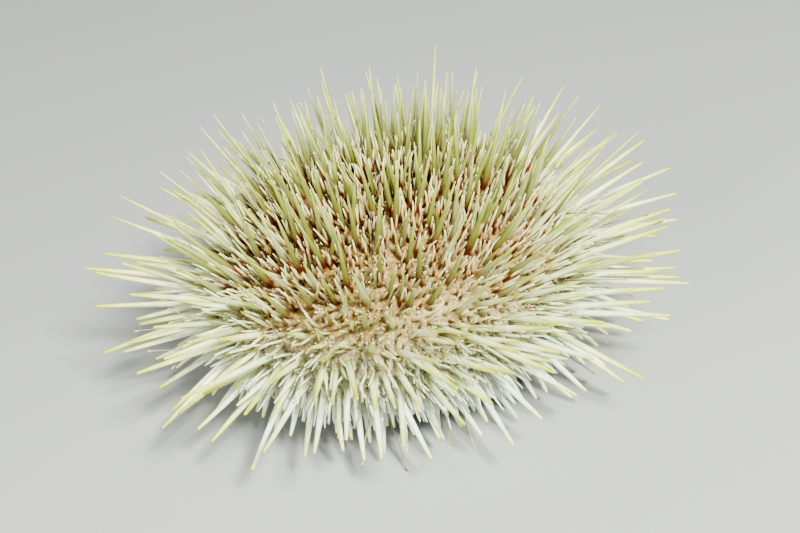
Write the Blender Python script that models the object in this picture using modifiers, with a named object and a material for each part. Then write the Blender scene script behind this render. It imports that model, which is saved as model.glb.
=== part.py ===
"""Long-spined sea urchin (Gracilechinus acutus), a still, life-size model. Metres, +Z up, +X to the right
as seen from the front, origin on the floor under the middle of its spread. The test, the limy shell, is
solid and parts into its five ambulacra and five interambulacra, each with its spines, with the apical disc
on top and the mouth membrane and five teeth below. It stands on its lower spines."""

import math
from collections import namedtuple

import bmesh
import bpy
import numpy as np
from mathutils import Matrix, Vector

# The test
TEST_RADIUS = 0.052
AMBITUS_Z = 0.0275
RISE_ABOVE = 0.0285
FALL_BELOW = 0.0205
ROUNDNESS_ABOVE = 2.1
ROUNDNESS_BELOW = 2.6
RAYS = 5
RAY_TURN = 2 * math.pi / RAYS
FIRST_RAY = math.radians(-90.0)
AMBULACRUM_HALF = math.radians(14.4)
TURN_STEPS = 50
OUTLINE_STEPS = 8
LEAST_STEP = 1.1
GAP = 0.0003

# The disc on top and the mouth below
DISC_RADIUS = 0.0088
DISC_DEPTH = 0.005
DISC_RISE = 0.0008
DISC_SHOULDER = 0.6
SHOULDER_RISE = 0.7 * DISC_RISE
MOUTH_RADIUS = 0.018
MOUTH_RISE = 0.0015
MOUTH_RISE_REACH = 0.004
MEMBRANE_THICK = 0.004
MEMBRANE_HOLLOW = 0.0009
LIP_INNER = 0.0052
LIP_OUTER = 0.0070
LIP_DROP = 0.0008
TOOTH_LENGTH = 0.0058
TOOTH_WIDTH = 0.0024
TOOTH_TIP_WIDTH = 0.0009
MOUTH_FOOT_RING = 0.0098
MOUTH_FOOT_LENGTH = 0.0034
MOUTH_FOOT_RADIUS = 0.0007
MOUTH_FOOT_SPLAY = math.radians(12)
MOUTH_FOOT_FLARE = 1.3
MOUTH_FOOT_ROOT = MEMBRANE_THICK / 3

# The spines
SEED = 12
ROW_PITCH = 0.0066
SPINE_PITCH = 0.0068
SPINE_THICK = 0.0019
SPINE_LENGTHS = (
    (0, 0.0190),
    (25, 0.0225),
    (60, 0.0260),
    (90, 0.0275),
    (115, 0.0220),
    (135, 0.0150),
    (160, 0.0090),
    (180, 0.0075),
)
SIDE_STRETCH = 0.12
FRONT_SHRINK = 0.20
LENGTH_SPREAD = 0.13
SMALL_PITCH = 0.0085
SMALL_PHASE = 0.37
SMALL_LENGTH = 0.0085
SMALL_THICK = 0.0009
FILLING_COUNT = 220
FILLING_TRIES = 2500
FILLING_SHARES = (0.5, 0.8)
FILLING_THICK = (0.0013, 0.0016)
ROOT_SPACING = 0.0024
LEAN_SPREAD = math.radians(6)
FRONT_SWEEP = 0.30
STRAIGHTEST = 0.75
PLACE_SPREAD = 0.12
FIRST_ROW = 0.0025
EDGE_ROOM = 0.0004
ROOT_DEPTH = 0.0022
CLEARANCE = 0.0004
FLOOR_CLEARANCE = 0.001
STEEP_ENOUGH = 0.45
SHORTEST = 0.004
TRIES = 60
TRIES_AT_LENGTH = 6
SHORTER = 0.97
TIP_SHARE = 0.2
STANDING_TIP = 0.0004
SPINE_SIDES = 5
SMALL_SIDES = 4

# The spines that stand out from the rest: bearing, slope from the top (degrees) and length
OUTSTANDING = (
    (176, 75, 0.038),
    (-170, 75, 0.034),
    (164, 60, 0.036),
    (-172, 92, 0.027),
    (-150, 82, 0.031),
    (166, 42, 0.029),
    (136, 32, 0.026),
    (104, 30, 0.030),
    (88, 24, 0.027),
    (63, 26, 0.032),
    (32, 47, 0.031),
    (25, 56, 0.033),
    (20, 86, 0.042),
    (-12, 92, 0.028),
    (-23, 100, 0.028),
    (-37, 118, 0.024),
    (-93, 92, 0.027),
    (-130, 75, 0.038),
)

# The small spines on the apical disc, ring by ring: radius of the ring and how many
DISC_RINGS = ((0.0030, 4), (0.0062, 9))
DISC_SPINE_LENGTH = 0.0125
DISC_SPINE_THICK = 0.0011
DISC_SPLAY = 0.9

COLOURS = {
    "interambulacrum": (0.72, 0.72, 0.45, 1.0),
    "ambulacrum": (0.66, 0.62, 0.38, 1.0),
    "apical_disc": (0.50, 0.40, 0.20, 1.0),
    "peristome": (0.60, 0.40, 0.34, 1.0),
    "tooth": (0.86, 0.86, 0.80, 1.0),
}

Spine = namedtuple("Spine", "node root aim length radius stands")


def clear_scene():
    for thing in list(bpy.data.objects):
        bpy.data.objects.remove(thing, do_unlink=True)


def material_for(name):
    material = bpy.data.materials.new(name)
    material.use_nodes = True
    kind = name.rstrip("_12345")
    shader = material.node_tree.nodes["Principled BSDF"]
    shader.inputs["Base Color"].default_value = COLOURS[kind]
    shader.inputs["Roughness"].default_value = 0.35 if kind == "tooth" else 0.6
    shader.inputs["Metallic"].default_value = 0.0
    return material


def test_height(radius, above):
    """Height of the test's surface at this distance from its axis, on the upper or the lower side."""
    rise = RISE_ABOVE if above else -FALL_BELOW
    power = ROUNDNESS_ABOVE if above else ROUNDNESS_BELOW
    level = AMBITUS_Z + rise * max(0.0, 1 - (radius / TEST_RADIUS) ** power) ** (1 / power)
    if above:
        return level
    return level + MOUTH_RISE * math.exp(-(((radius - MOUTH_RADIUS) / MOUTH_RISE_REACH) ** 2))


def outline_of_test(steps):
    """The test's outline as (radius, height), from the disc's edge down to the mouth's."""
    turns = [math.pi / 2 * step / steps for step in range(steps + 1)]
    radii = [TEST_RADIUS * math.sin(turn) for turn in turns]
    above = [(radius, test_height(radius, True)) for radius in radii if radius > DISC_RADIUS * LEAST_STEP]
    lower = [radius for radius in radii[-2::-1] if radius > MOUTH_RADIUS * LEAST_STEP]
    below = [(radius, test_height(radius, False)) for radius in lower]
    top = (DISC_RADIUS, test_height(DISC_RADIUS, True))
    return [top] + above + below + [(MOUTH_RADIUS, test_height(MOUTH_RADIUS, False))]


MERIDIAN = np.array(outline_of_test(200))
ALONG = np.concatenate([[0.0], np.cumsum(np.hypot(*np.diff(MERIDIAN, axis=0).T))])


def on_test(along, bearing):
    """The surface point this far along a meridian, and the direction straight out of it."""
    step = 0.0004
    before, here, after = (
        np.array([np.interp(along + shift, ALONG, MERIDIAN[:, axis]) for axis in (0, 1)])
        for shift in (-step, 0.0, step)
    )
    run, drop = (after - before) / np.linalg.norm(after - before)
    side = np.array([math.cos(bearing), math.sin(bearing), 0.0])
    return side * here[0] + [0, 0, here[1]], side * -drop + [0, 0, run]


def slope_of(normal):
    """Angle from straight up, in degrees."""
    return math.degrees(math.acos(max(-1.0, min(1.0, normal[2]))))


def along_at_slope(slope):
    """How far along the meridian the surface has this slope from the top."""
    places = np.linspace(0.001, ALONG[-1] - 0.001, 400)
    return min(places, key=lambda along: abs(slope_of(on_test(along, 0.0)[1]) - slope))


def sectors():
    """Name, first bearing and width of each ambulacrum and interambulacrum."""
    for ray in range(RAYS):
        middle = FIRST_RAY + ray * RAY_TURN
        number = str(ray + 1)
        yield "ambulacrum_" + number, middle - AMBULACRUM_HALF, 2 * AMBULACRUM_HALF
        yield "interambulacrum_" + number, middle + AMBULACRUM_HALF, RAY_TURN - 2 * AMBULACRUM_HALF


def sector_at(bearing):
    return next(name for name, start, width in sectors() if (bearing - start) % (2 * math.pi) < width)


def plate_places(pitch, thick, draw, phase):
    """Places for spines: two columns of plates down each sector, the second half a plate lower."""
    for node, start, width in sectors():
        for column in (0, 1):
            rows = np.arange(FIRST_ROW + (0.5 * column + phase) * pitch, ALONG[-1] - FIRST_ROW, pitch)
            for along in rows:
                radius = np.interp(along, ALONG, MERIDIAN[:, 0])
                count = max(1, round(radius * width / 2 / (pitch * SPINE_PITCH / ROW_PITCH)))
                for place in range(count):
                    share = (place + 0.5 * (1 + phase) + draw.uniform(-PLACE_SPREAD, PLACE_SPREAD)) / count
                    bearing = start + width / 2 * (column + share % 1.0)
                    edge = min(bearing - start, start + width - bearing)
                    nudge = draw.uniform(-PLACE_SPREAD, PLACE_SPREAD) * pitch
                    if radius * math.sin(edge) > (thick + GAP) / 2 + EDGE_ROOM:
                        yield node, along + nudge, bearing


def filling_places(draw):
    """Chance places between the rows, evenly over the test and off the edges of its sectors."""
    for _ in range(FILLING_TRIES):
        along = draw.uniform(FIRST_ROW, ALONG[-1] - FIRST_ROW)
        bearing = draw.uniform(0, 2 * math.pi)
        radius = np.interp(along, ALONG, MERIDIAN[:, 0])
        edge = min(abs(math.remainder(bearing - start, 2 * math.pi)) for _, start, _ in sectors())
        room = radius * math.sin(edge) > (FILLING_THICK[1] + GAP) / 2 + EDGE_ROOM
        if room and draw.uniform() * TEST_RADIUS < radius:
            yield along, bearing


def gaps_between(root, aim, length, roots, aims, lengths):
    """Least distance from one straight spine to each of many, and where along each it is."""
    away = root - roots
    turn = aims @ aim
    first = away @ aim
    second = np.einsum("ij,ij->i", away, aims)
    here = np.clip((turn * second - first) / np.maximum(1 - turn * turn, 1e-9), 0, length)
    there = np.clip(turn * here + second, 0, lengths)
    here = np.clip(turn * there - first, 0, length)
    apart = away + here[:, None] * aim - there[:, None] * aims
    return np.linalg.norm(apart, axis=1), here, there


def is_clear(spines, root, aim, length, thick):
    roots, aims, lengths, radii = (np.array([spine[k] for spine in spines]) for k in (1, 2, 3, 4))
    near = np.linalg.norm(roots - root, axis=1) < length + lengths
    apart, here, there = gaps_between(root, aim, length, roots[near], aims[near], lengths[near])
    own = thick / 2 * (1 - (1 - TIP_SHARE) * here / length)
    others = radii[near] * (1 - (1 - TIP_SHARE) * there / lengths[near])
    return not (apart < own + others + CLEARANCE).any()


def to_the_floor(root, aim, length):
    """The length that ends at the floor or short of it, and whether the spine stands there."""
    if root[2] + length * aim[2] >= FLOOR_CLEARANCE:
        return length, False
    if -aim[2] > STEEP_ENOUGH:
        return root[2] / -aim[2], True
    return (root[2] - FLOOR_CLEARANCE) / -aim[2], False


def grow(spines, node, root, normal, thick, length, draw):
    """Adds a spine that leans by chance, redrawn until it is clear of the others."""
    for attempt in range(TRIES):
        sweep = np.array([FRONT_SWEEP * max(0.0, -normal[1]), 0.0, 0.0])
        aim = normal + sweep + draw.normal(0, LEAN_SPREAD, 3)
        aim /= np.linalg.norm(aim)
        size, stands = to_the_floor(root, aim, length * SHORTER ** (attempt // TRIES_AT_LENGTH))
        upright = aim @ normal > STRAIGHTEST
        if upright and size > SHORTEST and is_clear(spines, root, aim, size, thick):
            spines.append(Spine(node, root, aim, size, thick / 2, stands))
            return


def main_length(slope, bearing, draw):
    """Length by how far down the test a spine stands: longer at the sides, shorter in front."""
    slopes, lengths = zip(*SPINE_LENGTHS)
    outward = math.sin(math.radians(slope))
    side = (math.cos(bearing) * outward) ** 2
    front = max(0.0, -math.sin(bearing) * outward)
    share = 1 + SIDE_STRETCH * side - FRONT_SHRINK * front
    return np.interp(slope, slopes, lengths) * share * draw.normal(1, LENGTH_SPREAD)


def spines_of_disc():
    """Short spines in rings on the apical disc."""
    level = test_height(DISC_RADIUS, True) + DISC_RISE / 2
    for radius, count in DISC_RINGS:
        for place in range(count):
            bearing = FIRST_RAY + 2 * math.pi * (place + 0.5) / count
            side = np.array([math.cos(bearing), math.sin(bearing), 0.0])
            aim = side * radius / DISC_RADIUS * DISC_SPLAY / 2 + [0, 0, 1]
            aim /= np.linalg.norm(aim)
            root = side * radius + [0, 0, level]
            yield Spine("apical_disc", root, aim, DISC_SPINE_LENGTH, DISC_SPINE_THICK / 2, False)


def all_spines():
    """The spines of the disc, those that stand out, the rows, small ones between them, and fillers."""
    draw = np.random.default_rng(SEED)
    spines = list(spines_of_disc())
    for bearing, slope, length in OUTSTANDING:
        turn = math.radians(bearing)
        root, normal = on_test(along_at_slope(slope), turn)
        spines.append(Spine(sector_at(turn), root, normal, length, SPINE_THICK / 2, False))
    for node, along, bearing in plate_places(ROW_PITCH, SPINE_THICK, draw, 0.0):
        root, normal = on_test(along, bearing)
        grow(spines, node, root, normal, SPINE_THICK, main_length(slope_of(normal), bearing, draw), draw)
    for node, along, bearing in plate_places(SMALL_PITCH, SMALL_THICK, draw, SMALL_PHASE):
        root, normal = on_test(along, bearing)
        grow(spines, node, root, normal, SMALL_THICK, SMALL_LENGTH * draw.normal(1, LENGTH_SPREAD), draw)
    most = len(spines) + FILLING_COUNT
    for along, bearing in filling_places(draw):
        root, normal = on_test(along, bearing)
        length = main_length(slope_of(normal), bearing, draw) * draw.uniform(*FILLING_SHARES)
        thick = draw.uniform(*FILLING_THICK)
        apart = min(np.linalg.norm(spine.root - root) for spine in spines)
        if apart > ROOT_SPACING and len(spines) < most:
            grow(spines, sector_at(bearing), root, normal, thick, length, draw)
    return spines


def middle_of(spines):
    """The middle of the spread, seen from above."""
    tips = np.array([spine.root + spine.aim * spine.length for spine in spines])
    low, high = tips.min(axis=0), tips.max(axis=0)
    return Vector(((low[0] + high[0]) / 2, (low[1] + high[1]) / 2, 0.0))


def turned(name, outline):
    """A closed solid turned from an outline that starts and ends on the axis, top first."""
    mesh = bpy.data.meshes.new(name + "_outline")
    points = [(radius, 0.0, level) for radius, level in outline]
    mesh.from_pydata(points, [(i, i + 1) for i in range(len(points) - 1)], [])
    guide = bpy.data.objects.new(name + "_outline", mesh)
    bpy.context.scene.collection.objects.link(guide)
    screw = guide.modifiers.new("turn", "SCREW")
    screw.steps = TURN_STEPS
    screw.render_steps = TURN_STEPS
    screw.use_merge_vertices = True
    screw.merge_threshold = 0.00001
    solid = bpy.data.meshes.new_from_object(guide.evaluated_get(bpy.context.evaluated_depsgraph_get()))
    bpy.data.objects.remove(guide, do_unlink=True)
    solid.name = name
    return solid


def wedge(name, solid, start, end):
    """The part of a turned solid between two meridians, half a gap inside each."""
    form = bmesh.new()
    form.from_mesh(solid)
    bmesh.ops.remove_doubles(form, verts=form.verts, dist=0.00001)
    for bearing, side in ((start, 1), (end, -1)):
        inward = Vector((-math.sin(bearing), math.cos(bearing), 0.0)) * side
        cut = bmesh.ops.bisect_plane(
            form,
            geom=form.verts[:] + form.edges[:] + form.faces[:],
            dist=0.000001,
            plane_co=inward * GAP / 2,
            plane_no=-inward,
            clear_outer=True,
        )
        edges = [piece for piece in cut["geom_cut"] if isinstance(piece, bmesh.types.BMEdge)]
        bmesh.ops.edgeloop_fill(form, edges=edges)
    bmesh.ops.recalc_face_normals(form, faces=form.faces)
    mesh = bpy.data.meshes.new(name)
    form.to_mesh(mesh)
    form.free()
    return mesh


def cone(name, root, aim, length, radius, tip, sides):
    """A closed tapered rod of few sides from a root along a direction."""
    form = bmesh.new()
    bmesh.ops.create_cone(form, cap_ends=True, segments=sides, radius1=radius, radius2=tip, depth=length)
    bmesh.ops.remove_doubles(form, verts=form.verts, dist=0.000001)
    turn = Vector((0, 0, 1)).rotation_difference(Vector(aim)).to_matrix().to_4x4()
    middle = Matrix.Translation(Vector(root) + Vector(aim) * length / 2)
    form.transform(middle @ turn)
    mesh = bpy.data.meshes.new(name)
    form.to_mesh(mesh)
    form.free()
    return mesh


def spine_mesh(number, spine):
    """A spine with its root sunk in its node. One that stands ends in a flat on the floor."""
    root = spine.root - spine.aim * ROOT_DEPTH
    sides = SPINE_SIDES if spine.radius > SMALL_THICK else SMALL_SIDES
    tip = STANDING_TIP if spine.stands else 0.0
    mesh = cone("spine_" + str(number), root, spine.aim, spine.length + ROOT_DEPTH, spine.radius, tip, sides)
    if spine.stands:
        for corner in mesh.vertices[:]:
            if (np.array(corner.co) - spine.root) @ spine.aim > spine.length / 2:
                corner.co -= Vector(spine.aim) * corner.co.z / spine.aim[2]
    return mesh


def joined(name, body, pieces):
    """One closed body made of a body and the pieces rooted in it."""
    roots = bpy.data.collections.new(name + "_pieces")
    bpy.context.scene.collection.children.link(roots)
    for piece in pieces:
        roots.objects.link(bpy.data.objects.new(piece.name, piece))
    holder = bpy.data.objects.new(name + "_body", body)
    bpy.context.scene.collection.objects.link(holder)
    union = holder.modifiers.new("join", "BOOLEAN")
    union.operation = "UNION"
    union.operand_type = "COLLECTION"
    union.collection = roots
    union.solver = "EXACT"
    mesh = bpy.data.meshes.new_from_object(holder.evaluated_get(bpy.context.evaluated_depsgraph_get()))
    bpy.data.objects.remove(holder, do_unlink=True)
    for thing in list(roots.objects):
        bpy.data.objects.remove(thing, do_unlink=True)
    bpy.data.collections.remove(roots)
    mesh.name = name
    keep_largest(mesh)
    return mesh


def keep_largest(mesh):
    """Drops every closed surface but the one with the most faces."""
    form = bmesh.new()
    form.from_mesh(mesh)
    left = set(form.faces)
    surfaces = []
    while left:
        found = {left.pop()}
        front = list(found)
        while front:
            for edge in front.pop().edges:
                beside = [face for face in edge.link_faces if face in left]
                left.difference_update(beside)
                found.update(beside)
                front.extend(beside)
        surfaces.append(found)
    largest = max(surfaces, key=len)
    loose = [face for surface in surfaces if surface is not largest for face in surface]
    bmesh.ops.delete(form, geom=loose, context="FACES")
    form.to_mesh(mesh)
    form.free()


def place(name, mesh, middle, home):
    mesh.transform(Matrix.Translation(-middle))
    node = bpy.data.objects.new(name, mesh)
    mesh.materials.clear()
    mesh.materials.append(material_for(name))
    home.objects.link(node)
    mesh.shade_smooth()
    mesh.set_sharp_from_angle(angle=math.radians(35))


def make_test(spines, middle, home):
    """The shell's ten sectors, recessed for the disc and the mouth, each with its spines."""
    seat = test_height(DISC_RADIUS, True) - DISC_DEPTH
    roof = test_height(MOUTH_RADIUS, False) + MEMBRANE_THICK
    outline = [(0.0, seat), (DISC_RADIUS, seat)] + outline_of_test(OUTLINE_STEPS)
    solid = turned("test", outline + [(MOUTH_RADIUS, roof), (0.0, roof)])
    for name, start, width in sectors():
        body = wedge(name, solid, start, start + width)
        own = [spine_mesh(number, spine) for number, spine in enumerate(spines) if spine.node == name]
        place(name, joined(name, body, own), middle, home)


def make_disc(spines, middle, home):
    top = test_height(DISC_RADIUS, True)
    edge = DISC_RADIUS - GAP
    seat = top - DISC_DEPTH + GAP
    outline = [
        (0.0, top + DISC_RISE),
        (edge * DISC_SHOULDER, top + SHOULDER_RISE),
        (edge, top),
        (edge, seat),
        (0.0, seat),
    ]
    own = [spine_mesh(number, spine) for number, spine in enumerate(spines) if spine.node == "apical_disc"]
    place("apical_disc", joined("apical_disc", turned("disc", outline), own), middle, home)


def make_mouth(middle, home):
    """The mouth membrane with its ten short tube feet, and the teeth inside its lip."""
    level = test_height(MOUTH_RADIUS, False)
    roof = level + MEMBRANE_THICK - GAP
    hollow = level + MEMBRANE_HOLLOW
    outline = [
        (0.0, roof),
        (MOUTH_RADIUS - GAP, roof),
        (MOUTH_RADIUS - GAP, level),
        ((MOUTH_RADIUS + LIP_OUTER) / 2, hollow),
        (LIP_OUTER, level),
        ((LIP_INNER + LIP_OUTER) / 2, level - LIP_DROP),
        (LIP_INNER, level),
        (LIP_INNER, hollow),
        (0.0, hollow),
    ]
    feet = [mouth_foot(number, hollow) for number in range(2 * RAYS)]
    place("peristome", joined("peristome", turned("membrane", outline), feet), middle, home)
    for number in range(RAYS):
        make_tooth(number, hollow - GAP, middle, home)


def mouth_foot(number, level):
    """One of the tube feet that stand in pairs round the mouth, one pair to a ray."""
    pair, side = divmod(number, 2)
    bearing = FIRST_RAY + pair * RAY_TURN + (side - 0.5) * AMBULACRUM_HALF
    outward = Vector((math.cos(bearing), math.sin(bearing), 0.0))
    aim = (outward * math.sin(MOUTH_FOOT_SPLAY) + Vector((0, 0, -math.cos(MOUTH_FOOT_SPLAY)))).normalized()
    root = outward * MOUTH_FOOT_RING + Vector((0, 0, level)) - aim * MOUTH_FOOT_ROOT
    tip = MOUTH_FOOT_RADIUS * MOUTH_FOOT_FLARE
    name = "mouth_foot_" + str(number)
    return cone(name, root, aim, MOUTH_FOOT_LENGTH, MOUTH_FOOT_RADIUS, tip, SPINE_SIDES)


def make_tooth(number, level, middle, home):
    """One of the five teeth that close under the middle of the mouth, square in section."""
    name = "tooth_" + str(number + 1)
    bearing = FIRST_RAY + (number + 0.5) * RAY_TURN
    outward = Vector((math.cos(bearing), math.sin(bearing), 0.0))
    form = bmesh.new()
    bmesh.ops.create_cone(
        form,
        cap_ends=True,
        segments=4,
        radius1=TOOTH_TIP_WIDTH / math.sqrt(2),
        radius2=TOOTH_WIDTH / math.sqrt(2),
        depth=TOOTH_LENGTH,
    )
    form.transform(Matrix.Rotation(bearing + math.pi / 4, 4, "Z"))
    for corner in form.verts:
        half = (TOOTH_TIP_WIDTH if corner.co.z < 0 else TOOTH_WIDTH) / 2
        corner.co += outward * (half + half / math.tan(RAY_TURN / 2) + GAP / math.sin(RAY_TURN / 2))
        corner.co.z += level - TOOTH_LENGTH / 2
    mesh = bpy.data.meshes.new(name)
    form.to_mesh(mesh)
    form.free()
    place(name, mesh, middle, home)


clear_scene()
urchin = bpy.data.collections.new("sea_urchin")
bpy.context.scene.collection.children.link(urchin)
grown = all_spines()
spread_middle = middle_of(grown)
make_test(grown, spread_middle, urchin)
make_disc(grown, spread_middle, urchin)
make_mouth(spread_middle, urchin)
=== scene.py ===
import math
from collections import namedtuple

import bpy
import numpy as np
from mathutils import Matrix, Vector
from mathutils.kdtree import KDTree


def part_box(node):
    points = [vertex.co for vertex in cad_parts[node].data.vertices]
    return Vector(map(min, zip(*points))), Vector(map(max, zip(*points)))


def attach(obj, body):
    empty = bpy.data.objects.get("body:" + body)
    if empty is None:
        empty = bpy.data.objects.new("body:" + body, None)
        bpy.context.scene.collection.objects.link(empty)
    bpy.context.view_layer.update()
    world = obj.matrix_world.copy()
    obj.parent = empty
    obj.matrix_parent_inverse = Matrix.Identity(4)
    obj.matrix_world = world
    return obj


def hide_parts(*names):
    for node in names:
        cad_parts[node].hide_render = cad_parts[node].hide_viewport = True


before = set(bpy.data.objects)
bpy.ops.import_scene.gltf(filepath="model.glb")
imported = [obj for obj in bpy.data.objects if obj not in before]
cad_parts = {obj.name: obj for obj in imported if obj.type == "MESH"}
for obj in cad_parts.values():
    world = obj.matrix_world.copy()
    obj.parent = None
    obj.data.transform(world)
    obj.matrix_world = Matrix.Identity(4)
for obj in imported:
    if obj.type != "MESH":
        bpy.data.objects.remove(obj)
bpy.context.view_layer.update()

# The shell, or test. The real one is a thin hollow globe of calcite plates, in ten double columns that
# their sutures lock together: five ambulacra, which carry the tube feet, and five interambulacra. These are
# its sizes in metres and its outline, the same as in the solids.
TEST_RADIUS = 0.052
AMBITUS_Z = 0.0275
RISE_ABOVE = 0.0285
FALL_BELOW = 0.0205
ROUNDNESS_ABOVE = 2.1
ROUNDNESS_BELOW = 2.6
RAYS = 5
RAY_TURN = 2 * math.pi / RAYS
FIRST_RAY = math.radians(-90.0)
AMBULACRUM_HALF = math.radians(14.4)
GAP = 0.0003
DISC_RADIUS = 0.0088
DISC_RISE = 0.0008
LEAST_STEP = 1.1
MOUTH_RADIUS = 0.018
MOUTH_RISE = 0.0015
MOUTH_RISE_REACH = 0.004
OUTLINE_STEPS = 200
SLOPE_STEP = 0.0004


def fall_off(away, reach):
    """1 at the middle of a bump or groove, and next to nothing at twice its reach."""
    return math.exp(-((away / reach) ** 2))


def test_height(radius, above):
    """Height of the test's surface at this distance from its axis, on the upper or the lower side."""
    rise = RISE_ABOVE if above else -FALL_BELOW
    power = ROUNDNESS_ABOVE if above else ROUNDNESS_BELOW
    level = AMBITUS_Z + rise * max(0.0, 1 - (radius / TEST_RADIUS) ** power) ** (1 / power)
    if above:
        return level
    return level + MOUTH_RISE * fall_off(radius - MOUTH_RADIUS, MOUTH_RISE_REACH)


DISC_LEVEL = test_height(DISC_RADIUS, True)
MOUTH_LEVEL = test_height(MOUTH_RADIUS, False)


def outline_of_test(steps):
    """The test's outline as (radius, height), from the disc's edge down to the mouth's."""
    turns = [math.pi / 2 * step / steps for step in range(steps + 1)]
    radii = [TEST_RADIUS * math.sin(turn) for turn in turns]
    upper = [radius for radius in radii if radius > DISC_RADIUS * LEAST_STEP]
    lower = [radius for radius in radii[-2::-1] if radius > MOUTH_RADIUS * LEAST_STEP]
    above = [(radius, test_height(radius, True)) for radius in upper]
    below = [(radius, test_height(radius, False)) for radius in lower]
    return [(DISC_RADIUS, DISC_LEVEL)] + above + below + [(MOUTH_RADIUS, MOUTH_LEVEL)]


MERIDIAN = np.array(outline_of_test(OUTLINE_STEPS))
ALONG = np.concatenate([[0.0], np.cumsum(np.hypot(*np.diff(MERIDIAN, axis=0).T))])


def toward(bearing):
    """The level direction at this bearing."""
    return np.array([math.cos(bearing), math.sin(bearing), 0.0])


def on_test(along, bearing):
    """The surface point this far along a meridian, and the direction straight out of it."""
    before, here, after = (
        np.array([np.interp(along + shift, ALONG, MERIDIAN[:, axis]) for axis in (0, 1)])
        for shift in (-SLOPE_STEP, 0.0, SLOPE_STEP)
    )
    run, drop = (after - before) / np.linalg.norm(after - before)
    side = toward(bearing)
    return side * here[0] + [0, 0, here[1]], side * -drop + [0, 0, run]


def slope_of(normal):
    """Angle from straight up, in degrees."""
    return math.degrees(math.acos(max(-1.0, min(1.0, normal[2]))))


def sectors():
    """First bearing and width of each ambulacrum and interambulacrum."""
    for ray in range(RAYS):
        middle = FIRST_RAY + ray * RAY_TURN
        yield middle - AMBULACRUM_HALF, 2 * AMBULACRUM_HALF
        yield middle + AMBULACRUM_HALF, RAY_TURN - 2 * AMBULACRUM_HALF


# The bosses. Each plate carries smooth knobs of calcite, and a spine turns on each. They stand in rows down
# the columns of plates, with small ones and some chance ones in between. The same seed and rule as in the
# solids place every boss and its spine here, before the skin, because the skin rises over the bosses.
SEED = 12
ROW_PITCH = 0.0066
SPINE_PITCH = 0.0068
SPINE_THICK = 0.0019
# Length of a long spine by the slope of the shell at its root, in degrees from the top.
SPINE_LENGTHS = (
    (0, 0.0190),
    (25, 0.0225),
    (60, 0.0260),
    (90, 0.0275),
    (115, 0.0220),
    (135, 0.0150),
    (160, 0.0090),
    (180, 0.0075),
)
SIDE_STRETCH = 0.12
FRONT_SHRINK = 0.20
LENGTH_SPREAD = 0.13
SMALL_PITCH = 0.0085
SMALL_PHASE = 0.37
SMALL_LENGTH = 0.0085
SMALL_THICK = 0.0009
FILLING_COUNT = 220
FILLING_TRIES = 2500
FILLING_SHARES = (0.5, 0.8)
FILLING_THICK = (0.0013, 0.0016)
ROOT_SPACING = 0.0024
LEAN_SPREAD = math.radians(6)
FRONT_SWEEP = 0.30
STRAIGHTEST = 0.75
PLACE_SPREAD = 0.12
FIRST_ROW = 0.0025
EDGE_ROOM = 0.0004
CLEARANCE = 0.0004
FLOOR_CLEARANCE = 0.001
STEEP_ENOUGH = 0.45
SHORTEST = 0.004
TRIES = 60
TRIES_AT_LENGTH = 6
SHORTER = 0.97
TIP_SHARE = 0.2
# The spines that stand out in the photograph: bearing and slope in degrees, and length.
OUTSTANDING = (
    (176, 75, 0.038),
    (-170, 75, 0.034),
    (164, 60, 0.036),
    (-172, 92, 0.027),
    (-150, 82, 0.031),
    (166, 42, 0.029),
    (136, 32, 0.026),
    (104, 30, 0.030),
    (88, 24, 0.027),
    (63, 26, 0.032),
    (32, 47, 0.031),
    (25, 56, 0.033),
    (20, 86, 0.042),
    (-12, 92, 0.028),
    (-23, 100, 0.028),
    (-37, 118, 0.024),
    (-93, 92, 0.027),
    (-130, 75, 0.038),
)
DISC_RINGS = ((0.0030, 4), (0.0062, 9))
DISC_SPINE_LENGTH = 0.0125
DISC_SPINE_THICK = 0.0011
DISC_SPLAY = 0.9
SEARCH_MARGIN = 0.001
SEARCH_STEPS = 400

Spine = namedtuple("Spine", "root aim length radius stands")


def along_at_slope(slope):
    """How far along the meridian the surface has this slope from the top."""
    places = np.linspace(SEARCH_MARGIN, ALONG[-1] - SEARCH_MARGIN, SEARCH_STEPS)
    return min(places, key=lambda along: abs(slope_of(on_test(along, 0.0)[1]) - slope))


def plate_places(pitch, thick, draw, phase):
    """Places for spines: two columns of plates down each sector, the second half a plate lower."""
    for start, width in sectors():
        for column in (0, 1):
            top = FIRST_ROW + (0.5 * column + phase) * pitch
            for along in np.arange(top, ALONG[-1] - FIRST_ROW, pitch):
                radius = np.interp(along, ALONG, MERIDIAN[:, 0])
                count = max(1, round(radius * width / 2 / (pitch * SPINE_PITCH / ROW_PITCH)))
                for place in range(count):
                    chance = draw.uniform(-PLACE_SPREAD, PLACE_SPREAD)
                    share = (place + 0.5 * (1 + phase) + chance) / count
                    bearing = start + width / 2 * (column + share % 1.0)
                    edge = min(bearing - start, start + width - bearing)
                    nudge = draw.uniform(-PLACE_SPREAD, PLACE_SPREAD) * pitch
                    if radius * math.sin(edge) > (thick + GAP) / 2 + EDGE_ROOM:
                        yield along + nudge, bearing


def filling_places(draw):
    """Chance places between the rows, evenly over the test and off the edges of its sectors."""
    for _ in range(FILLING_TRIES):
        along = draw.uniform(FIRST_ROW, ALONG[-1] - FIRST_ROW)
        bearing = draw.uniform(0, 2 * math.pi)
        radius = np.interp(along, ALONG, MERIDIAN[:, 0])
        edge = min(abs(math.remainder(bearing - start, 2 * math.pi)) for start, _ in sectors())
        room = radius * math.sin(edge) > (FILLING_THICK[1] + GAP) / 2 + EDGE_ROOM
        if room and draw.uniform() * TEST_RADIUS < radius:
            yield along, bearing


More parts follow.
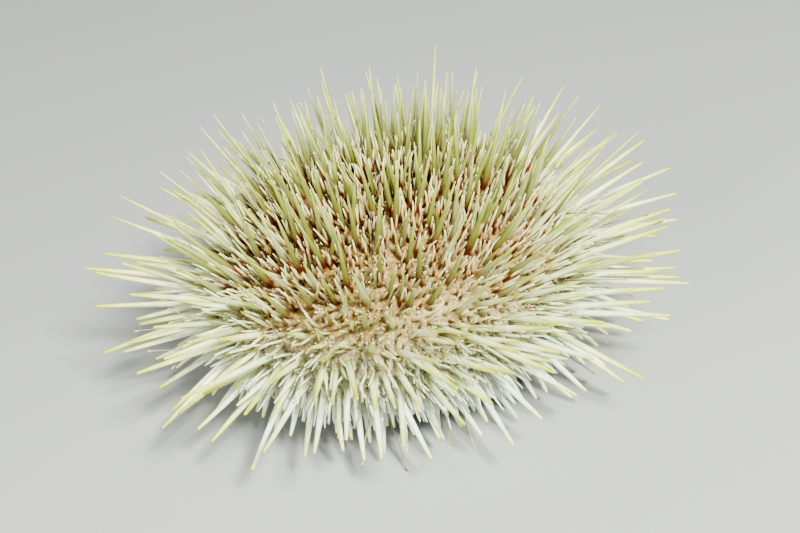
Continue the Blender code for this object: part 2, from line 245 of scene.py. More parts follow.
def gaps_between(root, aim, length, roots, aims, lengths):
    """Least distance from one straight spine to each of many, and where along each it is."""
    away = root - roots
    turn = aims @ aim
    first = away @ aim
    second = np.einsum("ij,ij->i", away, aims)
    here = np.clip((turn * second - first) / np.maximum(1 - turn * turn, 1e-9), 0, length)
    there = np.clip(turn * here + second, 0, lengths)
    here = np.clip(turn * there - first, 0, length)
    apart = away + here[:, None] * aim - there[:, None] * aims
    return np.linalg.norm(apart, axis=1), here, there


def is_clear(columns, root, aim, length, thick):
    """Whether a tapered spine here stays off all the others."""
    roots, aims, lengths, radii = columns
    near = np.linalg.norm(roots - root, axis=1) < length + lengths
    apart, here, there = gaps_between(root, aim, length, roots[near], aims[near], lengths[near])
    own = thick / 2 * (1 - (1 - TIP_SHARE) * here / length)
    others = radii[near] * (1 - (1 - TIP_SHARE) * there / lengths[near])
    return not (apart < own + others + CLEARANCE).any()


def to_the_floor(root, aim, length):
    """The length that ends at the floor or short of it, and whether the spine stands there."""
    if root[2] + length * aim[2] >= FLOOR_CLEARANCE:
        return length, False
    if -aim[2] > STEEP_ENOUGH:
        return root[2] / -aim[2], True
    return (root[2] - FLOOR_CLEARANCE) / -aim[2], False


def columns_of(spines):
    """Roots, directions, lengths and radii of the spines, as one array each."""
    return [np.array([spine[k] for spine in spines]) for k in range(4)]


def grow(spines, columns, root, normal, thick, length, draw):
    """Adds a spine that leans by chance, redrawn until it is clear of the others."""
    for attempt in range(TRIES):
        sweep = np.array([FRONT_SWEEP * max(0.0, -normal[1]), 0.0, 0.0])
        aim = normal + sweep + draw.normal(0, LEAN_SPREAD, 3)
        aim /= np.linalg.norm(aim)
        size, stands = to_the_floor(root, aim, length * SHORTER ** (attempt // TRIES_AT_LENGTH))
        upright = aim @ normal > STRAIGHTEST
        if upright and size > SHORTEST and is_clear(columns, root, aim, size, thick):
            spines.append(Spine(root, aim, size, thick / 2, stands))
            columns[:] = columns_of(spines)
            return


def main_length(slope, bearing, draw):
    """Length by how far down the test a spine stands: longer at the sides, shorter in front."""
    slopes, lengths = zip(*SPINE_LENGTHS)
    outward = math.sin(math.radians(slope))
    side = (math.cos(bearing) * outward) ** 2
    front = max(0.0, -math.sin(bearing) * outward)
    share = 1 + SIDE_STRETCH * side - FRONT_SHRINK * front
    return np.interp(slope, slopes, lengths) * share * draw.normal(1, LENGTH_SPREAD)


def spines_of_disc():
    """Short spines in rings on the apical disc."""
    for radius, count in DISC_RINGS:
        for place in range(count):
            side = toward(FIRST_RAY + 2 * math.pi * (place + 0.5) / count)
            root = side * radius + [0, 0, DISC_LEVEL + DISC_RISE / 2]
            aim = side * radius / DISC_RADIUS * DISC_SPLAY / 2 + [0, 0, 1]
            aim /= np.linalg.norm(aim)
            yield Spine(root, aim, DISC_SPINE_LENGTH, DISC_SPINE_THICK / 2, False)


draw = np.random.default_rng(SEED)
spines = list(spines_of_disc())
for bearing, slope, length in OUTSTANDING:
    root, normal = on_test(along_at_slope(slope), math.radians(bearing))
    spines.append(Spine(root, normal, length, SPINE_THICK / 2, False))
packed = columns_of(spines)
for along, bearing in plate_places(ROW_PITCH, SPINE_THICK, draw, 0.0):
    root, normal = on_test(along, bearing)
    size = main_length(slope_of(normal), bearing, draw)
    grow(spines, packed, root, normal, SPINE_THICK, size, draw)
main_count = len(spines)
for along, bearing in plate_places(SMALL_PITCH, SMALL_THICK, draw, SMALL_PHASE):
    root, normal = on_test(along, bearing)
    size = SMALL_LENGTH * draw.normal(1, LENGTH_SPREAD)
    grow(spines, packed, root, normal, SMALL_THICK, size, draw)
filling_start = len(spines)
for along, bearing in filling_places(draw):
    root, normal = on_test(along, bearing)
    size = main_length(slope_of(normal), bearing, draw) * draw.uniform(*FILLING_SHARES)
    thick = draw.uniform(*FILLING_THICK)
    apart = np.linalg.norm(packed[0] - root, axis=1).min()
    if apart > ROOT_SPACING and len(spines) < filling_start + FILLING_COUNT:
        grow(spines, packed, root, normal, thick, size, draw)
tips = packed[0] + packed[1] * packed[2][:, None]
SPREAD_MIDDLE = np.array([*(tips.min(axis=0) + tips.max(axis=0))[:2] / 2, 0.0])

small_spines = spines[main_count:filling_start]
long_spines = spines[:main_count] + spines[filling_start:]
long_roots = np.array([spine.root for spine in long_spines])
long_radii = np.array([spine.radius for spine in long_spines])
roots_tree = KDTree(len(long_roots))
for number, root in enumerate(long_roots):
    roots_tree.insert(Vector(root), number)
roots_tree.balance()

# The skin. A live urchin's shell is covered by a thin moist skin, so no bare plate shows: ochre beige above
# with specks of rust and ochre, paler and greyer towards the mouth, and pimpled all over. It is one closed
# surface, raised over the boss under each spine and sunk along the sutures between the plates.
SKIN_COLUMNS = 420
SKIN_ROWS = 124
DISC_ROWS = 12
TURNED_IN_ROWS = 2
TURNED_IN_SHARE = 0.2
BOSS_HEIGHT = 0.0006
BOSS_REACH = 0.0013
SUTURE_DEPTH = 0.00012
SUTURE_REACH = 0.0003
SUTURE_ZIGZAG = 0.0012
SECTOR_MARGIN = 0.05
DISC_GROOVE = 0.00022
DISC_GROOVE_REACH = 0.0003
CENTRE_PLATE_RADIUS = 0.0034
DISC_RIM_SHARE = 0.97
MEMBRANE_THICK = 0.004
ROOF_LEVEL = MOUTH_LEVEL + MEMBRANE_THICK
UNWRAP_RADIUS = 0.48
# Colours change with the zone, the slope of the shell: 0 on top, 0.5 where it is widest, and 1 below.
# These are the skin's own ochre above and grey below, darkened as painted shade for the shade between the
# spines.
SKIN_ABOVE = ((0.30, "#8c6e3e"), (0.5, "#ae925c"), (0.72, "#d0b884"))
SKIN_BELOW = ((0.3, "#968e7c"), (0.5, "#b0aa98"), (0.72, "#cccabc"))
PIGMENT = ((0.3, "#7a2410"), (0.6, "#b8531f"), (0.85, "#c9973a"))
# A pattern's scale is one over its size: blotches of 6 mm, a speck every 1.6 mm, pimples 1 mm across, and
# grain of 0.9 mm. The real pimples are finer than the render can show, so they are drawn this coarse.
BLOTCH_SCALE = 160.0
SPECK_SCALE = 620.0
PIMPLE_SCALE = 950.0
GRAIN_SCALE = 1100.0
UNPIGMENTED_SHARE = 0.30


def linear(code):
    """An sRGB hex colour as the linear one that the shaders use."""
    parts = [int(code[k : k + 2], 16) / 255 for k in (1, 3, 5)]
    return [p / 12.92 if p <= 0.04045 else ((p + 0.055) / 1.055) ** 2.4 for p in parts] + [1.0]


def plug(node, inputs):
    """Fills a node's inputs: with a value, or with a link from a socket or from a node's first output."""
    for key, value in inputs.items():
        source = value.outputs[0] if isinstance(value, bpy.types.Node) else value
        if isinstance(source, bpy.types.NodeSocket):
            node.id_data.links.new(source, node.inputs[key])
        else:
            node.inputs[key].default_value = source


def add(tree, kind, inputs=None, **settings):
    """Adds a node with its settings and inputs. stops fills a colour ramp, and knots a curve."""
    node = tree.nodes.new(kind)
    for field, value in settings.items():
        if field == "stops":
            elements = node.color_ramp.elements
            for position, _ in value[2:]:
                elements.new(position)
            for element, (position, _) in zip(elements, value):
                element.position = position
            for element, (_, code) in zip(elements, value):
                element.color = linear(code)
        elif field == "knots":
            points = node.mapping.curves[0].points
            for position, level in value[1:-1]:
                points.new(position, level)
            for point, (position, level) in zip(points, value):
                point.location = (position, level)
                point.handle_type = "VECTOR"
            node.mapping.update()
        else:
            setattr(node, field, value)
    plug(node, inputs or {})
    return node


def new_material(name):
    """A new material, with its tree and its shader."""
    material = bpy.data.materials.new(name)
    material.use_nodes = True
    return material, material.node_tree, material.node_tree.nodes["Principled BSDF"]


def unwrapped(along, bearing):
    """A point's place on the skin's own flat unwrap: the top in the middle, the mouth outside."""
    share = UNWRAP_RADIUS * (DISC_RADIUS + along) / (DISC_RADIUS + ALONG[-1] + MOUTH_RADIUS)
    return 0.5 + share * np.cos(bearing), 0.5 + share * np.sin(bearing)


def suture_depth(along, bearing):
    """How near a point is to a suture between two plates, from 0 to 1."""
    nearest = 1.0
    radius = np.interp(along, ALONG, MERIDIAN[:, 0])
    for start, width in sectors():
        turn = (bearing - start + math.pi) % (2 * math.pi) - math.pi
        if not -SECTOR_MARGIN < turn < width + SECTOR_MARGIN:
            continue
        zigzag = (abs((along / ROW_PITCH * 2) % 2 - 1) - 0.5) * SUTURE_ZIGZAG / radius
        lines = [abs(turn), abs(turn - width), abs(turn - width / 2 - zigzag)]
        column = 0 if turn < width / 2 else 1
        row = (along - FIRST_ROW - 0.5 * column * ROW_PITCH) / ROW_PITCH - 0.5
        across = abs(row - round(row)) * ROW_PITCH
        nearest = min(nearest, min(lines) * radius, across)
    return fall_off(nearest, SUTURE_REACH)


def disc_relief(radius, bearing):
    """Grooves round the plates of the apical disc: a ring of large and small ones, then a centre."""
    spoke = abs(math.sin((bearing - FIRST_RAY) * RAYS)) * radius / RAYS
    rings = min(abs(radius - CENTRE_PLATE_RADIUS), abs(radius - DISC_RADIUS * DISC_RIM_SHARE))
    return -DISC_GROOVE * fall_off(min(spoke, rings), DISC_GROOVE_REACH)


def skin_point(row, column):
    """A point of the skin, its zone, and its place on the unwrap. The last rows turn in over the mouth."""
    bearing = 2 * math.pi * column / SKIN_COLUMNS
    inner = row - DISC_ROWS - SKIN_ROWS
    if inner > 0:
        level = MOUTH_LEVEL + MEMBRANE_THICK * inner / TURNED_IN_ROWS
        point = toward(bearing) * MOUTH_RADIUS + [0, 0, level]
        return point, 1.0, unwrapped(ALONG[-1] + MOUTH_RADIUS * TURNED_IN_SHARE * inner, bearing)
    if row <= DISC_ROWS:
        radius = DISC_RADIUS * row / DISC_ROWS
        level = DISC_LEVEL + DISC_RISE * (1 - (radius / DISC_RADIUS) ** 2)
        point = toward(bearing) * radius + [0, 0, level + disc_relief(radius, bearing)]
        return point, 0.0, unwrapped(radius - DISC_RADIUS, bearing)
    along = ALONG[-1] * (row - DISC_ROWS) / SKIN_ROWS
    point, normal = on_test(along, bearing)
    boss = 0.0
    for _, index, away in roots_tree.find_range(Vector(point), 3 * BOSS_REACH):
        size = long_radii[index] / (SPINE_THICK / 2)
        boss = max(boss, size * BOSS_HEIGHT * fall_off(away, BOSS_REACH * size))
    depth = SUTURE_DEPTH * suture_depth(along, bearing) * (1 - boss / BOSS_HEIGHT)
    return point + normal * (boss - depth), slope_of(normal) / 180, unwrapped(along, bearing)


def ring_mesh(name, rows, columns, point_at, top, bottom):
    """A closed mesh of rings round the vertical axis, from a pole on top to a pole below."""
    rings = [point_at(row, column) for row in range(1, rows) for column in range(columns)]
    points, zones, flats = zip(top, *rings, bottom)
    faces = []
    for column in range(columns):
        beside = (column + 1) % columns
        faces.append((0, 1 + column, 1 + beside))
        for row in range(rows - 2):
            upper = 1 + row * columns
            lower = upper + columns
            faces.append((upper + column, lower + column, lower + beside, upper + beside))
        base = 1 + (rows - 2) * columns
        faces.append((base + column, len(points) - 1, base + beside))
    mesh = bpy.data.meshes.new(name)
    mesh.from_pydata([tuple(point) for point in points], [], faces)
    mesh.attributes.new("zone", "FLOAT", "POINT").data.foreach_set("value", zones)
    flat_map = mesh.uv_layers.new(name="OFBake")
    corners = np.empty(len(mesh.loops), np.int32)
    mesh.loops.foreach_get("vertex_index", corners)
    flat_map.uv.foreach_set("vector", np.array(flats, np.float32)[corners].ravel())
    mesh.shade_smooth()
    return mesh


def living_skin():
    """Thin moist skin over calcite: soft, satin, finely pimpled, with specks of pigment."""
    material, tree, shader = new_material("living_skin_over_calcite")
    place = add(tree, "ShaderNodeTexCoord").outputs["Object"]
    zone = add(tree, "ShaderNodeAttribute", attribute_name="zone").outputs["Fac"]
    blotch = add(tree, "ShaderNodeTexNoise", {"Vector": place, "Scale": BLOTCH_SCALE, "Detail": 6.0})
    above = add(tree, "ShaderNodeValToRGB", {"Fac": blotch}, stops=SKIN_ABOVE)
    below = add(tree, "ShaderNodeValToRGB", {"Fac": blotch}, stops=SKIN_BELOW)
    down = add(tree, "ShaderNodeMapRange", {"Value": zone, "From Min": 0.28, "From Max": 0.50})
    base = add(tree, "ShaderNodeMix", {"Factor": down, 6: above, 7: below}, data_type="RGBA")
    # Most cells of this pattern hold a speck of pigment, fewer and fainter down the sides.
    cells = add(tree, "ShaderNodeTexVoronoi", {"Vector": place, "Scale": SPECK_SCALE, "Randomness": 1.0})
    speck = add(
        tree,
        "ShaderNodeMapRange",
        {"Value": cells, "From Min": 0.16, "From Max": 0.26, "To Min": 1.0, "To Max": 0.0},
    )
    chance = add(tree, "ShaderNodeSeparateColor", {"Color": cells.outputs["Color"]})
    chosen = add(tree, "ShaderNodeMath", {0: chance, 1: UNPIGMENTED_SHARE}, operation="GREATER_THAN")
    high = add(
        tree,
        "ShaderNodeMapRange",
        {"Value": zone, "From Min": 0.25, "From Max": 0.55, "To Min": 0.9, "To Max": 0.0},
    )
    mask = add(tree, "ShaderNodeMath", {0: speck, 1: chosen}, operation="MULTIPLY")
    strength = add(tree, "ShaderNodeMath", {0: mask, 1: high}, operation="MULTIPLY")
    pigment = add(tree, "ShaderNodeValToRGB", {"Fac": chance.outputs["Green"]}, stops=PIGMENT)
    specked = add(
        tree, "ShaderNodeMix", {"Factor": strength, 6: base.outputs[2], 7: pigment}, data_type="RGBA"
    )
    # Grain and pimples raise the surface. The grain's darker low parts are partly the skin's own mottled
    # tone and partly painted shade, and the hollows between the pimples are darkened as painted shade.
    grain = add(tree, "ShaderNodeTexNoise", {"Vector": place, "Scale": GRAIN_SCALE, "Detail": 4.0})
    shade = add(
        tree,
        "ShaderNodeMapRange",
        {"Value": grain, "From Min": 0.34, "From Max": 0.66, "To Min": 0.78, "To Max": 1.14},
    )
    pimples = add(tree, "ShaderNodeTexVoronoi", {"Vector": place, "Scale": PIMPLE_SCALE, "Randomness": 0.9})
    # Painted shade: the colour is darker in the hollows between the pimples.
    hollow_shade = add(
        tree,
        "ShaderNodeMapRange",
        {"Value": pimples, "From Min": 0.2, "From Max": 0.7, "To Min": 1.1, "To Max": 0.6},
    )
    tone_and_hollow_shade = add(tree, "ShaderNodeMath", {0: shade, 1: hollow_shade}, operation="MULTIPLY")
    mottled_and_hollow_shaded = add(tree, "ShaderNodeVectorMath", {0: specked.outputs[2], "Scale": tone_and_hollow_shade}, operation="SCALE")
    fine = add(tree, "ShaderNodeBump", {"Strength": 0.5, "Distance": 0.0003, "Height": grain})
    relief = {"Strength": 0.8, "Distance": 0.0004, "Height": pimples, "Normal": fine}
    bump = add(tree, "ShaderNodeBump", relief, invert=True)
    finish = {
        "Base Color": mottled_and_hollow_shaded,
        "Normal": bump,
        "Roughness": 0.48,
        "IOR": 1.4,
        "Subsurface Weight": 0.08,
        "Subsurface Scale": 0.0008,
        "Subsurface Radius": (0.8, 0.5, 0.35),
    }
    plug(shader, finish)
    return material


def settle(name, mesh, material, slot_name, *nodes):
    """Puts a finished mesh in the scene, moved to the middle of the spread, and hides the solids that it
    stands for.
    """
    mesh.transform(Matrix.Translation(Vector(-SPREAD_MIDDLE)))
    piece = bpy.data.objects.new(name, mesh)
    bpy.context.scene.collection.objects.link(piece)
    mesh.materials.clear()
    mesh.materials.append(material)
    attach(piece, "root")
    if nodes:
        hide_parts(*nodes)


skin_mesh = ring_mesh(
    "shell_skin",
    DISC_ROWS + SKIN_ROWS + TURNED_IN_ROWS + 1,
    SKIN_COLUMNS,
    skin_point,
    ((0.0, 0.0, DISC_LEVEL + DISC_RISE), 0.0, (0.5, 0.5)),
    ((0.0, 0.0, ROOF_LEVEL), 1.0, (0.99, 0.99)),
)
covered = [f"{kind}_{ray + 1}" for kind in ("ambulacrum", "interambulacrum") for ray in range(RAYS)]
settle("shell_skin", skin_mesh, living_skin(), "shell_and_spines", *covered, "apical_disc")

# The long spines. Each is one crystal of calcite, finely ribbed along its length, that turns on its boss as
# on a ball joint. On top of the shell they are slim and olive with a maroon foot, at its sides ivory with a
# yellow end, and below white and blunter.
BOW = 0.035
LONG_SEED = 21
SPINE_SIDES = 8
SPINE_SINK = 0.0016
UPPER_ZONE = 0.36
WELD = 0.0005
# The map of each rod is a patch this wide, at its root's place on the skin's unwrap.
PATCH = 0.003
# The film of skin is a little cloudy, every 2.4 mm.
MOTTLE_SCALE = 420.0
# A real spine has more and finer ribs than the render can show, so they are drawn this coarse.
RIBS = 14
# Profiles are (height, radius) from the root to the tip, as shares of a spine's length and radius.
POINTED_PROFILE = (
    (0.00, 0.0),
    (0.00, 0.70),
    (0.07, 0.72),
    (0.085, 1.04),
    (0.105, 1.04),
    (0.13, 0.98),
    (0.35, 0.86),
    (0.62, 0.60),
    (0.85, 0.33),
    (0.985, 0.15),
    (1.00, 0.08),
    (1.00, 0.0),
)
BLUNT_PROFILE = (
    (0.00, 0.0),
    (0.00, 0.70),
    (0.07, 0.72),
    (0.085, 1.02),
    (0.105, 1.02),
    (0.13, 0.96),
    (0.35, 0.93),
    (0.62, 0.80),
    (0.85, 0.61),
    (0.985, 0.44),
    (1.00, 0.32),
    (1.00, 0.0),
)
# Colours from the foot to the tip, of spines on top of the shell, at its sides, and below. The olive on top
# is the spines' own colour, darkened further as painted shade for the light that falls off over the top of
# the shell.
LONG_ABOVE = (
    (0.00, "#44140c"),
    (0.18, "#5e1c10"),
    (0.24, "#72582e"),
    (0.34, "#7e8040"),
    (0.54, "#8c924a"),
    (0.78, "#b0b866"),
    (1.00, "#dae090"),
)
LONG_ASIDE = (
    (0.00, "#8a7046"),
    (0.10, "#a4a860"),
    (0.18, "#c6d08a"),
    (0.30, "#e4eabe"),
    (0.48, "#f4f6cc"),
    (0.72, "#e8ec8a"),
    (0.90, "#d2da58"),
    (1.00, "#c8cc40"),
)
LONG_BELOW = (
    (0.00, "#aeb0a0"),
    (0.15, "#d6dccc"),
    (0.40, "#eaf2ec"),
    (0.70, "#f2f8ec"),
    (0.90, "#ecf2b4"),
    (1.00, "#dee27c"),
)


def coat_tree(name, profile):
    """Rods of one turned profile, one on each point, with a bend and a map.

    Each point says aim, size, girth, bow and flat: direction, length, radius, sideways bend of the tip, and
    its root's place on the skin's unwrap."""
    tree = bpy.data.node_groups.new(name, "GeometryNodeTree")
    for label in ("Geometry", "Sides", "Patch", "Material"):
        kind = {"Sides": "Int", "Patch": "Float"}.get(label, label)
        tree.interface.new_socket(label, in_out="INPUT", socket_type="NodeSocket" + kind)
    tree.interface.new_socket("Geometry", in_out="OUTPUT", socket_type="NodeSocketGeometry")
    given = tree.nodes.new("NodeGroupInput").outputs
    rows = len(profile)
    # A square sheet is rolled into a rod of this profile, and its seam and its ends are welded.
    columns = add(tree, "ShaderNodeMath", {0: given["Sides"], 1: 1.0})
    square = {"Size X": 1.0, "Size Y": 1.0, "Vertices X": columns, "Vertices Y": rows}
    sheet = add(tree, "GeometryNodeMeshGrid", square)
    mapped = add(
        tree,
        "GeometryNodeStoreNamedAttribute",
        {"Geometry": sheet, "Name": "Wrap", "Value": sheet.outputs["UV Map"]},
        data_type="FLOAT2",
        domain="CORNER",
    )
    spot = add(tree, "ShaderNodeSeparateXYZ", {0: add(tree, "GeometryNodeInputPosition")})
    around = add(tree, "ShaderNodeMath", {0: spot, 1: 2 * math.pi}, operation="MULTIPLY")
    level = add(tree, "ShaderNodeMath", {0: spot.outputs["Y"], 1: 0.5})
    steps = [row / (rows - 1) for row in range(rows)]
    heights, radii = zip(*profile)
    widest = max(radii)
    shares = [radius / widest for radius in radii]
    height = add(tree, "ShaderNodeFloatCurve", {"Value": level}, knots=list(zip(steps, heights)))
    radius = add(tree, "ShaderNodeFloatCurve", {"Value": level}, knots=list(zip(steps, shares)))
    reach = add(tree, "ShaderNodeMath", {0: radius, 1: widest}, operation="MULTIPLY")
    rolled = add(tree, "ShaderNodeCombineXYZ", {2: height})
    for axis, turn in enumerate(("COSINE", "SINE")):
        wave = add(tree, "ShaderNodeMath", {0: around}, operation=turn)
        plug(rolled, {axis: add(tree, "ShaderNodeMath", {0: wave, 1: reach}, operation="MULTIPLY")})
    rod = add(tree, "GeometryNodeSetPosition", {"Geometry": mapped, "Position": rolled})
    welded = add(tree, "GeometryNodeMergeByDistance", {"Geometry": rod, "Distance": WELD})
    top = add(tree, "ShaderNodeSeparateXYZ", {0: add(tree, "GeometryNodeInputPosition")})
    marked = add(
        tree,
        "GeometryNodeStoreNamedAttribute",
        {"Geometry": welded, "Name": "along", "Value": top.outputs["Z"]},
        data_type="FLOAT",
        domain="POINT",
    )
    # One rod stands on each point, turned to its aim, and by chance round its own axis.
    aim, bow, flat, wrap = (
        add(tree, "GeometryNodeInputNamedAttribute", {"Name": field}, data_type="FLOAT_VECTOR")
        for field in ("aim", "bow", "flat", "Wrap")
    )
    size, girth, chance, share = (
        add(tree, "GeometryNodeInputNamedAttribute", {"Name": field}, data_type="FLOAT")
        for field in ("size", "girth", "chance", "along")
    )
    aimed = add(tree, "FunctionNodeAlignRotationToVector", {"Vector": aim}, axis="Z")
    turn = add(tree, "ShaderNodeMath", {0: chance, 1: 2 * math.pi}, operation="MULTIPLY")
    spin = add(tree, "FunctionNodeAxisAngleToRotation", {"Axis": (0.0, 0.0, 1.0), "Angle": turn})
    spun = add(
        tree, "FunctionNodeRotateRotation", {"Rotation": aimed, "Rotate By": spin}, rotation_space="LOCAL"
    )
    scale = add(tree, "ShaderNodeCombineXYZ", {0: girth, 1: girth, 2: size})
    copies = {"Points": given["Geometry"], "Instance": marked, "Rotation": spun, "Scale": scale}
    placed = add(tree, "GeometryNodeInstanceOnPoints", copies)
    real = add(tree, "GeometryNodeRealizeInstances", {"Geometry": placed})
    # The bend grows with the square of the height, so the root stays where it is.
    curved = add(tree, "ShaderNodeMath", {0: share, 1: 2.0}, operation="POWER")
    bend = add(tree, "ShaderNodeVectorMath", {0: bow, "Scale": curved}, operation="SCALE")
    bent = add(tree, "GeometryNodeSetPosition", {"Geometry": real, "Offset": bend})
    # The map of the rod shrinks to a small patch on the skin's unwrap.
    centred = add(tree, "ShaderNodeVectorMath", {0: wrap, 1: (0.5, 0.5, 0.0)}, operation="SUBTRACT")
    small = add(tree, "ShaderNodeVectorMath", {0: centred, "Scale": given["Patch"]}, operation="SCALE")
    patch = add(tree, "ShaderNodeVectorMath", {0: small, 1: flat}, operation="ADD")
    baked = add(
        tree,
        "GeometryNodeStoreNamedAttribute",
        {"Geometry": bent, "Name": "OFBake", "Value": patch},
        data_type="FLOAT2",
        domain="CORNER",
    )
    smooth = add(tree, "GeometryNodeSetShadeSmooth", {"Geometry": baked})
    done = add(tree, "GeometryNodeSetMaterial", {"Geometry": smooth, "Material": given["Material"]})
    add(tree, "NodeGroupOutput", {"Geometry": done})
    return tree


def points_with(name, fields):
    """A mesh of loose points that carry the fields a coat tree reads."""
    mesh = bpy.data.meshes.new(name)
    mesh.from_pydata(fields["root"].tolist(), [], [])
    for field, values in fields.items():
        if field == "root":
            continue
        kind, key = ("FLOAT", "value") if values.ndim == 1 else ("FLOAT_VECTOR", "vector")
        layer = mesh.attributes.new(field, kind, "POINT")
        layer.data.foreach_set(key, values.ravel().astype(np.float32))
    return mesh


def grow_coat(name, fields, profile, sides, material, slot_name="shell_and_spines"):
    """One plain mesh of the rods of this profile that a coat tree sets on these points."""
    guide = bpy.data.objects.new(name + "_roots", points_with(name + "_roots", fields))
    bpy.context.scene.collection.objects.link(guide)
    grown = guide.modifiers.new("grow", "NODES")
    grown.node_group = coat_tree(name + "_shape", profile)
    inputs = {"Sides": sides, "Patch": PATCH, "Material": material}
    for item in grown.node_group.interface.items_tree:
        if item.in_out == "INPUT" and item.name in inputs:
            grown[item.identifier] = inputs[item.name]
    evaluated = guide.evaluated_get(bpy.context.evaluated_depsgraph_get())
    mesh = bpy.data.meshes.new_from_object(evaluated)
    bpy.data.objects.remove(guide, do_unlink=True)
    mesh.name = name
    settle(name, mesh, material, slot_name)


def place_on_map(roots):
    """Zone of each root, from 0 on top to 1 below, and its place on the skin's unwrap."""
    zones = np.zeros(len(roots))
    flats = np.zeros((len(roots), 3))
    for number, root in enumerate(roots):
        bearing = math.atan2(root[1], root[0])
        radius = math.hypot(root[0], root[1])
        along = ALONG[np.argmin(np.hypot(MERIDIAN[:, 0] - radius, MERIDIAN[:, 1] - root[2]))]
        if radius < DISC_RADIUS and root[2] > AMBITUS_Z:
            along = radius - DISC_RADIUS
        if along > 0:
            zones[number] = slope_of(on_test(along, bearing)[1]) / 180
        flats[number, :2] = unwrapped(along, bearing)
    return zones, flats


def fields_of(roots, aims, sizes, girths, bow, seed, sink):
    """The fields of a coat. Each rod starts below the skin, and bends by up to a share of its length."""
    draw = np.random.default_rng(seed)
    zones, flats = place_on_map(roots)
    side = np.cross(aims, draw.normal(0, 1, aims.shape))
    side /= np.linalg.norm(side, axis=1)[:, None]
    return {
        "root": roots - aims * sink,
        "aim": aims,
        "size": sizes + sink,
        "girth": girths,
        "bow": side * (sizes * draw.uniform(-bow, bow, len(sizes)))[:, None],
        "chance": draw.uniform(0, 1, len(sizes)),
        "zone": zones,
        "flat": flats,
    }


def fields_of_spines(spines, seed):
    """The fields of the solids' spines. One that stands is straight and ends with its rim on the floor."""
    roots, aims, sizes, girths = columns_of(spines)
    fields = fields_of(roots, aims, sizes, girths, BOW, seed, SPINE_SINK)
    stands = np.array([spine.stands for spine in spines])
    rim = BLUNT_PROFILE[-2][1] * girths * np.sqrt(1 - aims[:, 2] ** 2)
    fields["bow"][stands] = 0.0
    fields["size"][stands] += (rim / aims[:, 2])[stands]
    return fields


def some_of(fields, keep):
    """The fields of the rods to keep."""
    return {field: values[keep] for field, values in fields.items()}


def calcite_spine(name, *bands):
    """Calcite under a film of skin: hard, half matt, finely ribbed, with its pigment in bands."""
    material, tree, shader = new_material(name)
    along, zone, chance = (
        add(tree, "ShaderNodeAttribute", attribute_name=field).outputs["Fac"]
        for field in ("along", "zone", "chance")
    )
    # Each spine takes its bands from its zone, shifted a little by chance.
    above, aside, below = (add(tree, "ShaderNodeValToRGB", {"Fac": along}, stops=stops) for stops in bands)
    shift = add(tree, "ShaderNodeMapRange", {"Value": chance, "To Min": -0.12, "To Max": 0.14})
    level = add(tree, "ShaderNodeMath", {0: zone, 1: shift})
    first = add(tree, "ShaderNodeMapRange", {"Value": level, "From Min": 0.18, "From Max": 0.36})
    second = add(tree, "ShaderNodeMapRange", {"Value": level, "From Min": 0.50, "From Max": 0.66})
    upper = add(tree, "ShaderNodeMix", {"Factor": first, 6: above, 7: aside}, data_type="RGBA")
    colour = add(
        tree, "ShaderNodeMix", {"Factor": second, 6: upper.outputs[2], 7: below}, data_type="RGBA"
    )
    place = add(tree, "ShaderNodeTexCoord").outputs["Object"]
    mottle = add(tree, "ShaderNodeTexNoise", {"Vector": place, "Scale": MOTTLE_SCALE, "Detail": 3.0})
    light = add(
        tree,
        "ShaderNodeMapRange",
        {"Value": mottle, "From Min": 0.3, "From Max": 0.7, "To Min": 0.86, "To Max": 1.08},
    )
    final = add(tree, "ShaderNodeVectorMath", {0: colour.outputs[2], "Scale": light}, operation="SCALE")
    turn = add(tree, "ShaderNodeSeparateXYZ", {0: add(tree, "ShaderNodeUVMap", uv_map="Wrap")})
    wave = add(tree, "ShaderNodeMath", {0: turn, 1: RIBS * 2 * math.pi}, operation="MULTIPLY")
    rib = add(tree, "ShaderNodeMath", {0: wave}, operation="SINE")
    finish = {
        "Base Color": final,
        "Normal": add(tree, "ShaderNodeBump", {"Strength": 0.35, "Distance": 0.00006, "Height": rib}),
        "Roughness": 0.36,
        "IOR": 1.6,
        "Subsurface Weight": 0.08,
        "Subsurface Scale": 0.0006,
        "Subsurface Radius": (0.8, 0.75, 0.5),
    }
    plug(shader, finish)
    return material


long_fields = fields_of_spines(long_spines, LONG_SEED)
upper = long_fields["zone"] < UPPER_ZONE
long_calcite = calcite_spine("long_spine_calcite", LONG_ABOVE, LONG_ASIDE, LONG_BELOW)
grow_coat("long_spines_upper", some_of(long_fields, upper), POINTED_PROFILE, SPINE_SIDES, long_calcite)
grow_coat("long_spines_lower", some_of(long_fields, ~upper), BLUNT_PROFILE, SPINE_SIDES, long_calcite)

# The muscle collars. A sleeve of muscle and skin holds the foot of each long spine to its boss: maroon to
# rust brown on top of the shell, fading to the colour of the skin at the sides and below.
COLLAR_SIDES = 9
COLLAR_LENGTH = 0.0019
COLLAR_GIRTH = 1.5
COLLAR_SINK = 0.0004
COLLAR_GRAIN_SCALE = 2200.0
COLLAR_PROFILE = (
    (0.00, 0.0),
    (0.00, 1.25),
    (0.22, 1.15),
    (0.50, 0.88),
    (0.85, 0.70),
    (0.98, 0.60),
    (1.00, 0.0),
)
COLLAR_FOOT = ((0.0, "#906c40"), (0.2, "#a88c58"), (0.40, "#bcb088"), (0.7, "#c8c6b4"))
COLLAR_RIM = ((0.0, "#4e1c10"), (0.2, "#74442a"), (0.36, "#a0945c"), (0.7, "#c0bea8"))


